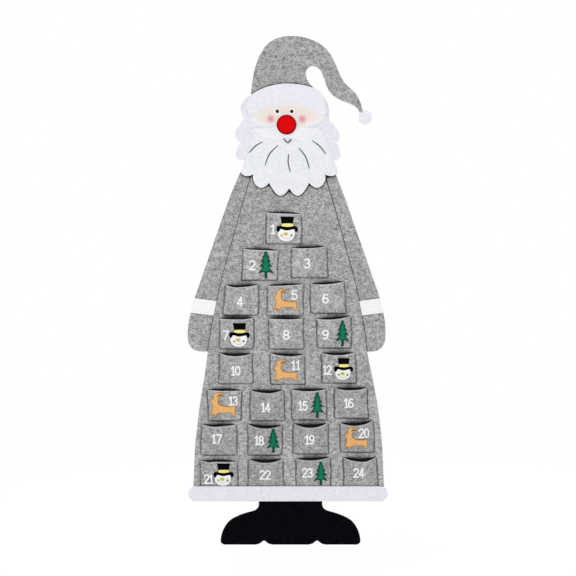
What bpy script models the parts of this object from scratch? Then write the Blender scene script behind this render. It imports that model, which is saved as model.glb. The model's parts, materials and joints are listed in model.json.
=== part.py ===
"""Felt wall advent calendar cut in the shape of Father Christmas, with 24 sewn pockets.

Metres, +Z up, the front faces -Y. The origin is where a nail carries the hanging tab: on the
wall plane (y = 0), on the centre line, at the top edge of the tab's slot. Left and right are
the viewer's. The calendar is built up from cut felt pieces, from the wall forwards: arms and
boots, then body and hat, then hair, hem and pockets, then face, beard, trim and moustache.
"""

import math
from collections import namedtuple

import bmesh
import bpy
from mathutils import Matrix, Vector

MM = 0.001

# Felt, and the gaps that keep touching pieces apart
BODY_FELT = 3.0 * MM
WHITE_FELT = 2.0 * MM
POCKET_FELT = 2.0 * MM
THIN_FELT = 1.0 * MM
SEAT_GAP = 0.3 * MM
EDGE_GAP = 0.5 * MM
CUT_OVERRUN = 5.0 * MM

# Hanging tab, sewn to the back of the hat by its lower half
TAB_WIDTH = 40.0 * MM
TAB_HEIGHT = 72.0 * MM
TAB_CORNER = 8.0 * MM
TAB_SLOT_WIDTH = 14.0 * MM
TAB_SLOT_HEIGHT = 22.0 * MM
TAB_ABOVE_SLOT = 12.0 * MM
TAB_BELOW_SLOT = 4.0 * MM
TAB_BEND_HEIGHT = 12.0 * MM

# Hat: its rise above the nail, and its left edge's reach from the centre line
HAT_WIDTH = 268.8 * MM
HAT_HEIGHT = 186.3 * MM
HAT_RISE = 57.0 * MM
HAT_LEFT_REACH = 89.6 * MM
BOBBLE_RADIUS = 16.0 * MM

# Head: the hair hangs below the hat's top, and the other pieces lie on the hair
HAIR_WIDTH = 247.6 * MM
HAIR_HEIGHT = 186.3 * MM
HAIR_DROP = 116.0 * MM
TRIM_WIDTH = 189.5 * MM
TRIM_HEIGHT = 81.8 * MM
TRIM_OVERLAP = 3.1 * MM
FACE_WIDTH = 179.0 * MM
FACE_HEIGHT = 70.7 * MM
FACE_DROP = 34.2 * MM
FACE_SHIFT = -3.5 * MM
BEARD_WIDTH = 228.7 * MM
BEARD_HEIGHT = 156.0 * MM
BEARD_SHIFT = 2.8 * MM
MOUSTACHE_WIDTH = 165.0 * MM
MOUSTACHE_HEIGHT = 42.4 * MM
NOSE_RADIUS = 23.1 * MM
NOSE_DEPTH = 9.0 * MM
NOSE_FLANGE = 3.2 * MM
NOSE_FLANGE_DEPTH = 2.4 * MM
EYE_RADIUS = 4.1 * MM
EYE_DEPTH = 2.6 * MM
EYE_SPACING = 33.9 * MM

# Body panel, whose top the hair hides
BODY_OVERLAP = 56.7 * MM
BODY_HEIGHT = 846.4 * MM
BODY_HEM_WIDTH = 449.0 * MM

# Arms, sewn behind the body's side edges, and their cuffs
ARM_DROP = 59.0 * MM
ARM_LENGTH = 439.7 * MM
ARM_WIDTH = 52.6 * MM
ARM_TOP_UNDERLAP = 20.0 * MM
ARM_FOOT_UNDERLAP = 18.0 * MM
CUFF_DROP = 313.6 * MM
CUFF_HEIGHT = 34.9 * MM
CUFF_SLANT = 6.5 * MM

# Hem band and boots
HEM_HEIGHT = 35.4 * MM
HEM_OVERHANG = 10.0 * MM
HEM_BELOW_BODY = 5.0 * MM
HEM_CORNER = 15.5 * MM
BOOTS_WIDTH = 329.6 * MM
BOOTS_HEIGHT = 103.0 * MM
BOOTS_TUCK = 28.0 * MM
BOOTS_SHIFT = 6.0 * MM

# Pockets: the first row's lip and the pitch of the rows follow the body's height
FIRST_LIP_SHARE = 0.2039
ROW_PITCH_SHARE = 0.0977
ROW_GAP = 10.7 * MM
COLUMN_GAP = 14.1 * MM
POCKET_WIDTH = 87.0 * MM
POCKET_HEIGHT = BODY_HEIGHT * ROW_PITCH_SHARE - ROW_GAP
POCKET_SEAM = 4.0 * MM
LIP_SAG = 9.4 * MM
LIP_GAPE = 18.0 * MM

# Motifs on the pockets, each this far from its pocket's foot and lip before it is shifted
TREE_WIDTH = 36.0 * MM
TREE_TRUNK = 5.4 * MM
TREE_MARGIN = 4.0 * MM
TREE_HEIGHT = POCKET_HEIGHT - TREE_MARGIN * 2
REINDEER_WIDTH = 61.0 * MM
REINDEER_MARGIN = 9.0 * MM
REINDEER_HEIGHT = POCKET_HEIGHT - REINDEER_MARGIN * 2
SNOWMAN_WIDTH = 50.0 * MM
SNOWMAN_MARGIN = 7.0 * MM
SNOWMAN_HEIGHT = POCKET_HEIGHT - SNOWMAN_MARGIN * 2

# Layers of felt: where each one's back lies, counted from the wall
BODY_BACK = -(BODY_FELT + SEAT_GAP)
SEWN_BACK = BODY_BACK - BODY_FELT - SEAT_GAP
FACE_BACK = SEWN_BACK - WHITE_FELT - SEAT_GAP
TRIM_BACK = FACE_BACK - THIN_FELT - SEAT_GAP
MOUSTACHE_BACK = FACE_BACK - WHITE_FELT - SEAT_GAP
NOSE_BACK = MOUSTACHE_BACK - WHITE_FELT - SEAT_GAP

# Levels
HAIR_TOP = HAT_RISE - HAIR_DROP
FACE_TOP = HAIR_TOP - FACE_DROP
BEARD_TOP = FACE_TOP - FACE_HEIGHT - EDGE_GAP
BODY_TOP = HAIR_TOP - HAIR_HEIGHT + BODY_OVERLAP
BODY_FOOT = BODY_TOP - BODY_HEIGHT
HEM_FOOT = BODY_FOOT - HEM_BELOW_BODY
HEM_TOP = HEM_FOOT + HEM_HEIGHT
ARM_TOP = BODY_TOP - ARM_DROP
ARM_FOOT = ARM_TOP - ARM_LENGTH

# Outlines. Each is a list of runs: smooth inside a run, with a corner where two runs meet.
# Their points are shares of the piece's width, from its middle or left edge, and of its
# height, down from its top.

# The hat: up its left side and over to the drooping tip, the tip's end under the bobble, back
# under the tip and round the hollow to the brow, and the lower edge that the hair hides.
HAT_RUNS_SHARES = [
    [(0.009, 0.797), (0.009, 0.709), (0.020, 0.582), (0.039, 0.430), (0.075, 0.278),
     (0.123, 0.152), (0.189, 0.063), (0.272, 0.013), (0.368, 0.0), (0.465, 0.015),
     (0.553, 0.054), (0.632, 0.118), (0.693, 0.209), (0.741, 0.329), (0.781, 0.462),
     (0.825, 0.582), (0.882, 0.665), (0.930, 0.734), (0.965, 0.829), (0.989, 0.937),
     (1.008, 1.030)],
    [(1.008, 1.030), (0.984, 1.042)],
    [(0.984, 1.042), (0.966, 0.985), (0.950, 0.930), (0.917, 0.886), (0.851, 0.843),
     (0.772, 0.797), (0.711, 0.728), (0.674, 0.639), (0.647, 0.525), (0.617, 0.434),
     (0.579, 0.390), (0.544, 0.380), (0.511, 0.403), (0.491, 0.456), (0.496, 0.532),
     (0.522, 0.601), (0.561, 0.658), (0.605, 0.709)],
    [(0.605, 0.709), (0.605, 0.797)],
    [(0.605, 0.797), (0.009, 0.797)],
]
BOBBLE_PLACE_SHARES = (1.009, 1.032)

# The hair: one curl at each temple, and two beside the beard.
HAIR_RUNS_SHARES = [
    [(-0.452, 0.725), (-0.488, 0.684), (-0.505, 0.627), (-0.490, 0.563), (-0.452, 0.500),
     (-0.426, 0.443)],
    [(-0.426, 0.443), (-0.436, 0.380), (-0.451, 0.310), (-0.442, 0.234), (-0.411, 0.177),
     (-0.367, 0.139), (-0.286, 0.076), (-0.171, 0.025), (-0.019, 0.0), (0.133, 0.025),
     (0.248, 0.076), (0.314, 0.120), (0.362, 0.196), (0.389, 0.285), (0.393, 0.367),
     (0.395, 0.437)],
    [(0.395, 0.437), (0.429, 0.500), (0.467, 0.567), (0.489, 0.633), (0.486, 0.690),
     (0.460, 0.725)],
    [(0.460, 0.725), (0.479, 0.791), (0.497, 0.867), (0.490, 0.924), (0.452, 0.949),
     (0.400, 0.949)],
    [(0.400, 0.949), (0.324, 1.0)],
    [(0.324, 1.0), (-0.324, 1.0)],
    [(-0.324, 1.0), (-0.400, 0.953)],
    [(-0.400, 0.953), (-0.457, 0.947), (-0.492, 0.918), (-0.495, 0.854), (-0.476, 0.785),
     (-0.452, 0.725)],
]

# The face, whose upper edge lies under the trim and whose foot lies under the moustache.
FACE_RUNS_SHARES = [
    [(-0.500, 0.647), (-0.375, 0.297), (-0.217, 0.080), (-0.020, 0.0), (0.178, 0.063),
     (0.349, 0.230), (0.500, 0.647)],
    [(0.500, 0.647), (0.415, 0.800), (0.309, 0.910), (0.150, 0.990), (0.0, 1.0),
     (-0.150, 0.990), (-0.322, 0.900), (-0.428, 0.770), (-0.500, 0.647)],
]
EYES_PLACE_SHARES = (-0.026, 0.397)
NOSE_PLACE_SHARES = (-0.007, 0.823)
MOUSTACHE_PLACE_SHARES = (0.006, 0.747)

# The hat's trim: over the crown from one temple to the other, and back along the brow.
TRIM_RUNS_SHARES = [
    [(-0.451, 1.0), (-0.491, 0.813), (-0.500, 0.611), (-0.473, 0.424), (-0.427, 0.300),
     (-0.296, 0.135), (-0.197, 0.063), (-0.072, 0.006), (0.052, 0.0), (0.177, 0.029),
     (0.276, 0.078), (0.376, 0.164), (0.444, 0.323), (0.488, 0.582), (0.500, 0.813),
     (0.469, 1.0)],
    [(0.469, 1.0), (0.338, 0.770), (0.177, 0.625), (-0.010, 0.568), (-0.197, 0.640),
     (-0.346, 0.798), (-0.451, 1.0)],
]

# Half of the beard: from the middle of its top edge down its side and round its lobes.
BEARD_HALF_RUNS_SHARES = [
    [(0.0, 0.0), (0.68, 0.0)],
    [(0.68, 0.0), (0.753, 0.154), (0.856, 0.350), (0.918, 0.472), (0.970, 0.562),
     (1.0, 0.630), (0.959, 0.680), (0.887, 0.700), (0.804, 0.695), (0.738, 0.675)],
    [(0.738, 0.675), (0.746, 0.743), (0.701, 0.826), (0.598, 0.879), (0.495, 0.861),
     (0.412, 0.804)],
    [(0.412, 0.804), (0.357, 0.879), (0.268, 0.967), (0.175, 1.0), (0.082, 0.967),
     (0.0, 0.887)],
]

# Half of the moustache: from its top, behind the nose, to its tip and back to the middle.
MOUSTACHE_HALF_RUNS_SHARES = [
    [(0.0, 0.0), (0.120, 0.040), (0.257, 0.190), (0.400, 0.270), (0.571, 0.310),
     (0.771, 0.330), (0.914, 0.360), (1.0, 0.450)],
    [(1.0, 0.450), (0.900, 0.620), (0.743, 0.840), (0.543, 0.970), (0.314, 1.0),
     (0.143, 0.950), (0.0, 0.900)],
]

# The body's side edges, which were cut by hand: the drop, and how far the left and the right
# edge stand out there, as shares of half the hem's width.
BODY_EDGE_SHARES = [
    (0.0, 0.315, 0.315), (0.070, 0.357, 0.357), (0.139, 0.431, 0.431), (0.223, 0.525, 0.525),
    (0.312, 0.617, 0.617), (0.384, 0.693, 0.693), (0.454, 0.752, 0.751), (0.529, 0.809, 0.803),
    (0.591, 0.842, 0.833), (0.660, 0.879, 0.886), (0.733, 0.923, 0.937), (0.800, 0.955, 0.970),
    (0.869, 0.979, 0.993), (1.0, 1.0, 1.013),
]

# The arms' outer edges: the drop, and how far the left and the right one stand out past the
# body's edge.
ARM_EDGE_SHARES = [
    (0.0, 0.493, 0.470), (0.038, 0.538, 0.500), (0.161, 0.673, 0.601), (0.290, 0.753, 0.677),
    (0.445, 0.843, 0.774), (0.579, 0.905, 0.840), (0.713, 1.025, 0.960), (0.794, 1.062, 0.985),
    (0.842, 1.067, 0.985), (0.890, 1.041, 0.940), (0.933, 0.978, 0.884), (0.968, 0.850, 0.750),
    (0.992, 0.600, 0.510), (1.0, 0.290, 0.265),
]

# Half of the boots: from the ankle over the toe, and under the sole to the heel's notch.
BOOT_HALF_SHARES = [
    (0.454, 0.050), (0.456, 0.103), (0.479, 0.172), (0.529, 0.218), (0.644, 0.271),
    (0.758, 0.340), (0.866, 0.437), (0.937, 0.575), (0.980, 0.724), (1.0, 0.874),
    (0.994, 0.954), (0.951, 1.0),
]
SOLE_HALF_SHARES = [
    (0.500, 1.0), (0.440, 0.972), (0.378, 0.908), (0.320, 0.972), (0.257, 1.0),
]

# Rows of pockets from the top: how many, the gap between them, and the row's shift to the
# side, both as shares of the column gap.
ROW_SHARES = [
    (1, 0.0, -0.77), (2, 2.15, -0.62), (3, 1.02, -0.62), (3, 1.98, -0.48),
    (3, 2.42, -0.17), (4, 0.90, -0.03), (4, 1.52, -0.06), (4, 1.70, 0.22),
]

# How each pocket was sewn on: its lift as a share of the row gap, the fall of its lip to the
# right in degrees, and its lip's sag as a share of the deepest sag.
SEWN_SHARES = {
    1: (0.0, 2.3, 0.15), 2: (-0.32, 2.6, 0.12), 3: (0.25, -2.4, 0.30),
    4: (-0.30, -0.8, 0.58), 5: (-0.35, -3.0, 0.15), 6: (0.14, -3.9, 0.38),
    7: (0.05, -0.8, 0.26), 8: (0.02, 0.0, 0.22), 9: (0.22, -4.6, 0.45),
    10: (0.11, 0.0, 0.75), 11: (-0.05, 2.4, 0.56), 12: (0.19, -1.1, 0.58),
    13: (-0.31, 0.9, 0.15), 14: (-0.31, 0.0, 0.62), 15: (-0.12, -0.5, 0.45),
    16: (0.19, -0.8, 0.56), 17: (-0.18, -0.6, 0.38), 18: (-0.21, 2.0, 0.84),
    19: (0.10, -0.8, 1.00), 20: (0.43, -3.9, 0.85), 21: (-0.45, 2.1, 0.10),
    22: (-0.07, 0.0, 0.75), 23: (0.19, -2.6, 0.46), 24: (0.32, -0.5, 0.86),
}

# How far a pocket without sag stands open, as a share of the widest gape.
LEAST_GAPE_SHARE = 0.60

# Where a pocket's felt bends: from its middle to its seam, and from its foot to its lip.
POCKET_ACROSS_SHARES = (0.17, 0.50, 0.80)
POCKET_UP_SHARES = (0.0, 0.28, 0.56, 0.80, 1.0)

# Which pockets carry a motif: how far it lies from the pocket's middle, as shares of the
# pocket's width and height, and its size as a share of the motif's own.
TREE_PLACE_SHARES = {
    2: (0.177, 0.01, 0.98), 9: (0.235, -0.01, 0.95), 15: (0.23, -0.01, 0.94),
    18: (0.24, -0.01, 0.89), 23: (0.216, -0.035, 0.88),
}
REINDEER_PLACE_SHARES = {
    5: (0.02, 0.01, 0.96), 11: (-0.05, -0.05, 0.98), 13: (-0.05, 0.03, 1.08),
    20: (-0.03, -0.03, 0.97),
}
SNOWMAN_PLACE_SHARES = {
    1: (0.10, -0.02, 1.0), 7: (0.085, -0.05, 0.98), 12: (0.14, -0.03, 0.90),
    21: (0.13, -0.03, 0.92),
}

# The fir tree's side, as shares of half its width and of its height: the knob at its top,
# then each tier's drooping branch and the notch below it.
TREE_TIER_SHARES = [
    ((0.19, 0.030), (0.22, 0.070), (0.17, 0.110)),
    ((0.30, 0.165), (0.49, 0.225), (0.25, 0.205)),
    ((0.45, 0.305), (0.72, 0.405), (0.30, 0.370)),
    ((0.56, 0.480), (0.88, 0.600), (0.35, 0.550)),
    ((0.64, 0.690), (1.00, 0.820), (0.36, 0.770)),
]

# The leaping reindeer, from its muzzle over antlers, back and hind leg to the forelegs.
REINDEER_RUNS_SHARES = [
    [(-0.45, 0.40), (-0.40, 0.29), (-0.33, 0.20)],
    [(-0.33, 0.20), (-0.32, 0.10), (-0.23, 0.02), (-0.08, 0.0), (0.12, 0.03)],
    [(0.12, 0.03), (-0.02, 0.07), (-0.12, 0.11), (-0.18, 0.17)],
    [(-0.18, 0.17), (-0.06, 0.14), (0.06, 0.15)],
    [(0.06, 0.15), (-0.06, 0.20), (-0.14, 0.27)],
    [(-0.14, 0.27), (-0.15, 0.37), (-0.10, 0.48), (0.02, 0.55), (0.20, 0.57), (0.38, 0.56)],
    [(0.38, 0.56), (0.49, 0.52)],
    [(0.49, 0.52), (0.48, 0.62), (0.46, 0.74), (0.50, 0.93)],
    [(0.50, 0.93), (0.41, 0.98)],
    [(0.41, 0.98), (0.34, 0.88), (0.25, 0.83), (0.06, 0.84), (-0.12, 0.85), (-0.20, 0.90),
     (-0.27, 1.0)],
    [(-0.27, 1.0), (-0.35, 0.98)],
    [(-0.35, 0.98), (-0.31, 0.89), (-0.39, 0.91), (-0.46, 0.98)],
    [(-0.46, 0.98), (-0.50, 0.90)],
    [(-0.50, 0.90), (-0.43, 0.80), (-0.38, 0.70), (-0.37, 0.58), (-0.37, 0.48)],
    [(-0.37, 0.48), (-0.43, 0.48), (-0.45, 0.40)],
]

# The snowman's top hat, whose brim curls down at its ends, and his head below the brim.
SNOWMAN_HAT_RUNS_SHARES = [
    [(-0.31, 0.0), (0.0, 0.008), (0.335, 0.015)],
    [(0.335, 0.015), (0.298, 0.14), (0.275, 0.28), (0.265, 0.385)],
    [(0.265, 0.385), (0.36, 0.40), (0.44, 0.40), (0.49, 0.45), (0.50, 0.53), (0.455, 0.61),
     (0.40, 0.595), (0.375, 0.54), (0.345, 0.495), (0.25, 0.50), (0.12, 0.525), (0.0, 0.54),
     (-0.12, 0.525), (-0.25, 0.49), (-0.33, 0.485), (-0.36, 0.53), (-0.40, 0.585),
     (-0.46, 0.59), (-0.50, 0.50), (-0.48, 0.42), (-0.42, 0.385), (-0.34, 0.39),
     (-0.245, 0.385)],
    [(-0.245, 0.385), (-0.25, 0.28), (-0.28, 0.14), (-0.31, 0.0)],
]
SNOWMAN_HEAD_RUNS_SHARES = [
    [(0.335, 0.515), (0.24, 0.518), (0.12, 0.545), (0.0, 0.56), (-0.12, 0.545),
     (-0.24, 0.510), (-0.32, 0.505)],
    [(-0.32, 0.505), (-0.343, 0.555), (-0.39, 0.61)],
    [(-0.39, 0.61), (-0.435, 0.64), (-0.445, 0.70), (-0.42, 0.79), (-0.30, 0.93), (-0.04, 1.0),
     (0.22, 0.93), (0.335, 0.80), (0.365, 0.70), (0.37, 0.63)],
    [(0.37, 0.63), (0.350, 0.565), (0.335, 0.515)],
]

# Colours (red, green, blue)
GREY = (0.32, 0.32, 0.31)
WHITE = (0.82, 0.82, 0.86)
BLACK = (0.006, 0.007, 0.010)
SKIN = (0.86, 0.72, 0.61)
RED = (0.72, 0.008, 0.010)
GREEN = (0.008, 0.20, 0.085)
ORANGE = (0.80, 0.36, 0.08)

Pocket = namedtuple("Pocket", "number x foot height fall sag gape")


def clear_scene():
    """Removes whatever the scene holds."""
    for obj in list(bpy.data.objects):
        bpy.data.objects.remove(obj)


def felt(name, colour, roughness=0.95):
    """A material of this colour."""
    material = bpy.data.materials.new(name)
    material.use_nodes = True
    shader = material.node_tree.nodes["Principled BSDF"]
    shader.inputs["Base Color"].default_value = (*colour, 1.0)
    shader.inputs["Roughness"].default_value = roughness
    shader.inputs["Metallic"].default_value = 0.0
    material.diffuse_color = (*colour, 1.0)
    return material


def add_object(name, mesh, material, location=(0, 0, 0)):
    """A new object in the scene that shows this mesh in this material."""
    mesh.materials.append(material)
    obj = bpy.data.objects.new(name, mesh)
    obj.location = location
    bpy.context.scene.collection.objects.link(obj)
    return obj


def add_guide(name, mesh, location=(0, 0, 0)):
    """A hidden object that only cuts others."""
    guide = bpy.data.objects.new(name, mesh)
    guide.location = location
    guide.hide_render = True
    guide.display_type = "WIRE"
    bpy.context.scene.collection.objects.link(guide)
    return guide


def cut(obj, guide, operation):
    """Cuts the guide's shape out of the object, or leaves only what lies inside it."""
    modifier = obj.modifiers.new(guide.name, "BOOLEAN")
    modifier.operation = operation
    modifier.object = guide


def smooth(points, steps=3):
    """A Catmull-Rom curve through the points, with this many steps between two of them."""
    if len(points) == 2:
        return [tuple(point) for point in points]
    guides = [Vector(point) for point in points]
    guides = [guides[0] * 2 - guides[1], *guides, guides[-1] * 2 - guides[-2]]
    curve = []
    for before, start, end, after in zip(guides, guides[1:], guides[2:], guides[3:]):
        for step in range(steps):
            t = step / steps
            turn = (end - before) * t + (before * 2 - start * 5 + end * 4 - after) * t * t
            turn += (start * 3 - before - end * 3 + after) * t * t * t
            curve.append(tuple(start + turn / 2))
    curve.append(tuple(points[-1]))
    return curve


def outline(runs, width, height, steps=3):
    """The closed outline that runs of shares make at this width and height, as (x, z)."""
    points = []
    for run in runs:
        curve = smooth([(across * width, -down * height) for across, down in run], steps)
        points.extend(curve[:-1])
    return points


def mirrored(runs):
    """A half outline's runs, and then the same runs back along the other side."""
    back = [[(-across, down) for across, down in reversed(run)] for run in reversed(runs)]
    return runs + back


def to_side(points, side):
    """The points, mirrored to the left for side -1."""
    return [(side * x, z) for x, z in points]


def rounded_rectangle(width, height, radius, steps=6):
    """The outline of a rectangle with round corners, centred on its own middle."""
    points = []
    for side, rise, quarter in ((1, 1, 0), (-1, 1, 1), (-1, -1, 2), (1, -1, 3)):
        middle_x = side * (width / 2 - radius)
        middle_z = rise * (height / 2 - radius)
        for step in range(steps + 1):
            angle = (quarter + step / steps) * math.pi / 2
            points.append((middle_x + radius * math.cos(angle), middle_z + radius * math.sin(angle)))
    return points


def circle(radius, steps=32):
    """The outline of a disc."""
    angles = [step / steps * math.tau for step in range(steps)]
    return [(radius * math.cos(angle), radius * math.sin(angle)) for angle in angles]


def prism(name, corners, depth):
    """A closed mesh from a flat outline of (x, y, z) corners, carried along the vector depth."""
    shape = bmesh.new()
    first = shape.faces.new([shape.verts.new(corner) for corner in corners])
    grown = bmesh.ops.extrude_face_region(shape, geom=[first])
    far_end = [item for item in grown["geom"] if isinstance(item, bmesh.types.BMVert)]
    bmesh.ops.translate(shape, verts=far_end, vec=depth)
    bmesh.ops.recalc_face_normals(shape, faces=shape.faces)
    mesh = bpy.data.meshes.new(name)
    shape.to_mesh(mesh)
    shape.free()
    return mesh


def cut_felt(name, points, thickness, back, material, at=(0, 0)):
    """A flat piece of felt with this outline of (x, z) points, whose back lies at this depth."""
    mesh = prism(name, [(x, 0, z) for x, z in points], (0, -thickness, 0))
    return add_object(name, mesh, material, (at[0], back, at[1]))


def turned(name, profile, back, material, at, steps=28):
    """A round piece turned about a line along Y, from a profile of (radius, depth) points."""
    shape = bmesh.new()
    points = [shape.verts.new((radius, -depth, 0)) for radius, depth in profile]
    edges = [shape.edges.new(pair) for pair in zip(points, points[1:])]
    bmesh.ops.spin(shape, geom=points + edges, cent=(0, 0, 0), axis=(0, 1, 0), angle=math.tau,
                   steps=steps, use_merge=True)
    bmesh.ops.remove_doubles(shape, verts=shape.verts, dist=SEAT_GAP / 10)
    bmesh.ops.recalc_face_normals(shape, faces=shape.faces)
    mesh = bpy.data.meshes.new(name)
    shape.to_mesh(mesh)
    shape.free()
    mesh.shade_smooth()
    mesh.set_sharp_from_angle(angle=math.radians(40))
    return add_object(name, mesh, material, (at[0], back, at[1]))


def fold_line(name, x, z, pieces):
    """An empty on a seam that these pieces fold about."""
    seam = bpy.data.objects.new(name, None)
    seam.location = (x, -BODY_FELT / 2, z)
    bpy.context.scene.collection.objects.link(seam)
    for piece in pieces:
        piece.parent = seam
        piece.matrix_parent_inverse = Matrix.Translation(seam.location).inverted()


def edge_at(edge, z):
    """How far out an edge of (x, z) points, running down, lies at this height."""
    for (upper_x, upper_z), (lower_x, lower_z) in zip(edge, edge[1:]):
        if lower_z <= z <= upper_z:
            share = (upper_z - z) / (upper_z - lower_z)
            return upper_x + (lower_x - upper_x) * share
    return edge[0][0] if z > edge[0][1] else edge[-1][0]


def of_side(table, side):
    """One side's (drop, out) pairs from a table of (drop, left, right)."""
    return [(drop, left if side < 0 else right) for drop, left, right in table]


def body_edge(side):
    """One of the body's side edges from its top to its foot, counted out from the middle."""
    half_width = BODY_HEM_WIDTH / 2
    return smooth([(out * half_width, BODY_TOP - drop * BODY_HEIGHT)
                   for drop, out in of_side(BODY_EDGE_SHARES, side)])


def arm_edge(side):
    """The outer edge of that side's arm, which stands out past the body's."""
    body = body_edge(side)
    levels = [(ARM_TOP - drop * ARM_LENGTH, out) for drop, out in of_side(ARM_EDGE_SHARES, side)]
    return smooth([(edge_at(body, z) + out * ARM_WIDTH, z) for z, out in levels])


def arm_seam(side):
    """The upper and the lower end of the line along which that side's arm is sewn on."""
    body = body_edge(side)
    upper = (edge_at(body, ARM_TOP) - ARM_TOP_UNDERLAP, ARM_TOP)
    lower = (edge_at(body, ARM_FOOT) - ARM_FOOT_UNDERLAP, ARM_FOOT)
    return upper, lower


def make_body(grey):
    """The bell-shaped panel that everything else is sewn to."""
    left = to_side(reversed(body_edge(-1)), -1)
    cut_felt("body_panel", body_edge(1) + left, BODY_FELT, BODY_BACK, grey)


def make_arm(side_name, side, grey, white):
    """An arm and mitten cut in one, sewn behind the body's edge, and the cuff on it."""
    outer = arm_edge(side)
    upper, lower = arm_seam(side)
    points = to_side([*outer, lower, upper], side)
    arm = cut_felt(f"{side_name}_arm", points, BODY_FELT, 0, grey)

    body = body_edge(side)
    cuff_sides = []
    for edge, gap, fall in ((outer, 0, 0), (body, EDGE_GAP, CUFF_SLANT)):
        top = ARM_TOP - CUFF_DROP - fall
        levels = [top - CUFF_HEIGHT * share for share in (0, 0.5, 1)]
        cuff_sides.append([(edge_at(edge, z) + gap, z) for z in levels])
    points = to_side(cuff_sides[0] + cuff_sides[1][::-1], side)
    cuff = cut_felt(f"{side_name}_cuff", points, WHITE_FELT, BODY_BACK, white)
    fold_line(f"{side_name}_arm_seam", side * upper[0], upper[1], (arm, cuff))


def make_hem(white):
    """The white band across the foot of the coat."""
    width = BODY_HEM_WIDTH + HEM_OVERHANG * 2
    points = rounded_rectangle(width, HEM_HEIGHT, HEM_CORNER)
    cut_felt("hem_band", points, WHITE_FELT, SEWN_BACK, white, at=(0, (HEM_TOP + HEM_FOOT) / 2))


def make_boots(black):
    """Both boots in one piece, sewn behind the body by their straight top."""
    half_width = BOOTS_WIDTH / 2
    ankle_share = BOOT_HALF_SHARES[0][0]
    right = [(ankle_share * half_width, BOOTS_TUCK)]
    for curve in (BOOT_HALF_SHARES, SOLE_HALF_SHARES):
        right += smooth([(out * half_width, -down * BOOTS_HEIGHT) for out, down in curve])
    left = to_side(reversed(right), -1)
    boots = cut_felt("boots", right + left, BODY_FELT, 0, black, at=(BOOTS_SHIFT, HEM_FOOT))
    fold_line("boots_seam", BOOTS_SHIFT, HEM_FOOT + BOOTS_TUCK, (boots,))


def make_hat(grey, white):
    """The hat with its drooping tip, and the white disc sewn over the tip's end."""
    points = outline(HAT_RUNS_SHARES, HAT_WIDTH, HAT_HEIGHT)
    cut_felt("hat", points, BODY_FELT, BODY_BACK, grey, at=(-HAT_LEFT_REACH, HAT_RISE))
    across, down = BOBBLE_PLACE_SHARES
    middle = (across * HAT_WIDTH - HAT_LEFT_REACH, HAT_RISE - down * HAT_HEIGHT)
    cut_felt("hat_bobble", circle(BOBBLE_RADIUS), WHITE_FELT, SEWN_BACK, white, at=middle)


def make_hanging_tab(grey):
    """A strip sewn behind the hat by its lower half, with a nail slot in its upper half.

    The upper half bends back to the wall, which leaves room for a nail's head.
    """
    bend_top = -TAB_SLOT_HEIGHT - TAB_BELOW_SLOT
    sewn_back = BODY_BACK + SEAT_GAP + WHITE_FELT
    back = [(0, TAB_ABOVE_SLOT)]
    for share in (0, 0.25, 0.5, 0.75, 1):
        ease = share * share * (3 - 2 * share)
        back.append((sewn_back * ease, bend_top - TAB_BEND_HEIGHT * share))
    back.append((sewn_back, TAB_ABOVE_SLOT - TAB_HEIGHT))
    profile = back + [(y - WHITE_FELT, z) for y, z in reversed(back)]
    strip = prism("hanging_tab", [(-TAB_WIDTH / 2, y, z) for y, z in profile], (TAB_WIDTH, 0, 0))
    tab = add_object("hanging_tab", strip, grey)

    depth = (0, BODY_BACK - CUT_OVERRUN * 2, 0)
    corners = rounded_rectangle(TAB_WIDTH, TAB_HEIGHT, TAB_CORNER)
    blank = prism("tab_blank", [(x, CUT_OVERRUN, z) for x, z in corners], depth)
    cut(tab, add_guide("tab_blank", blank, (0, 0, TAB_ABOVE_SLOT - TAB_HEIGHT / 2)), "INTERSECT")
    corners = rounded_rectangle(TAB_SLOT_WIDTH, TAB_SLOT_HEIGHT, TAB_SLOT_WIDTH / 2)
    slot = prism("tab_slot", [(x, CUT_OVERRUN, z) for x, z in corners], depth)
    cut(tab, add_guide("tab_slot", slot, (0, 0, -TAB_SLOT_HEIGHT / 2)), "DIFFERENCE")


def on_face(place_shares):
    """The (x, z) place that these shares of the face's width and height give."""
    across, down = place_shares
    return FACE_SHIFT + across * FACE_WIDTH, FACE_TOP - down * FACE_HEIGHT


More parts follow.
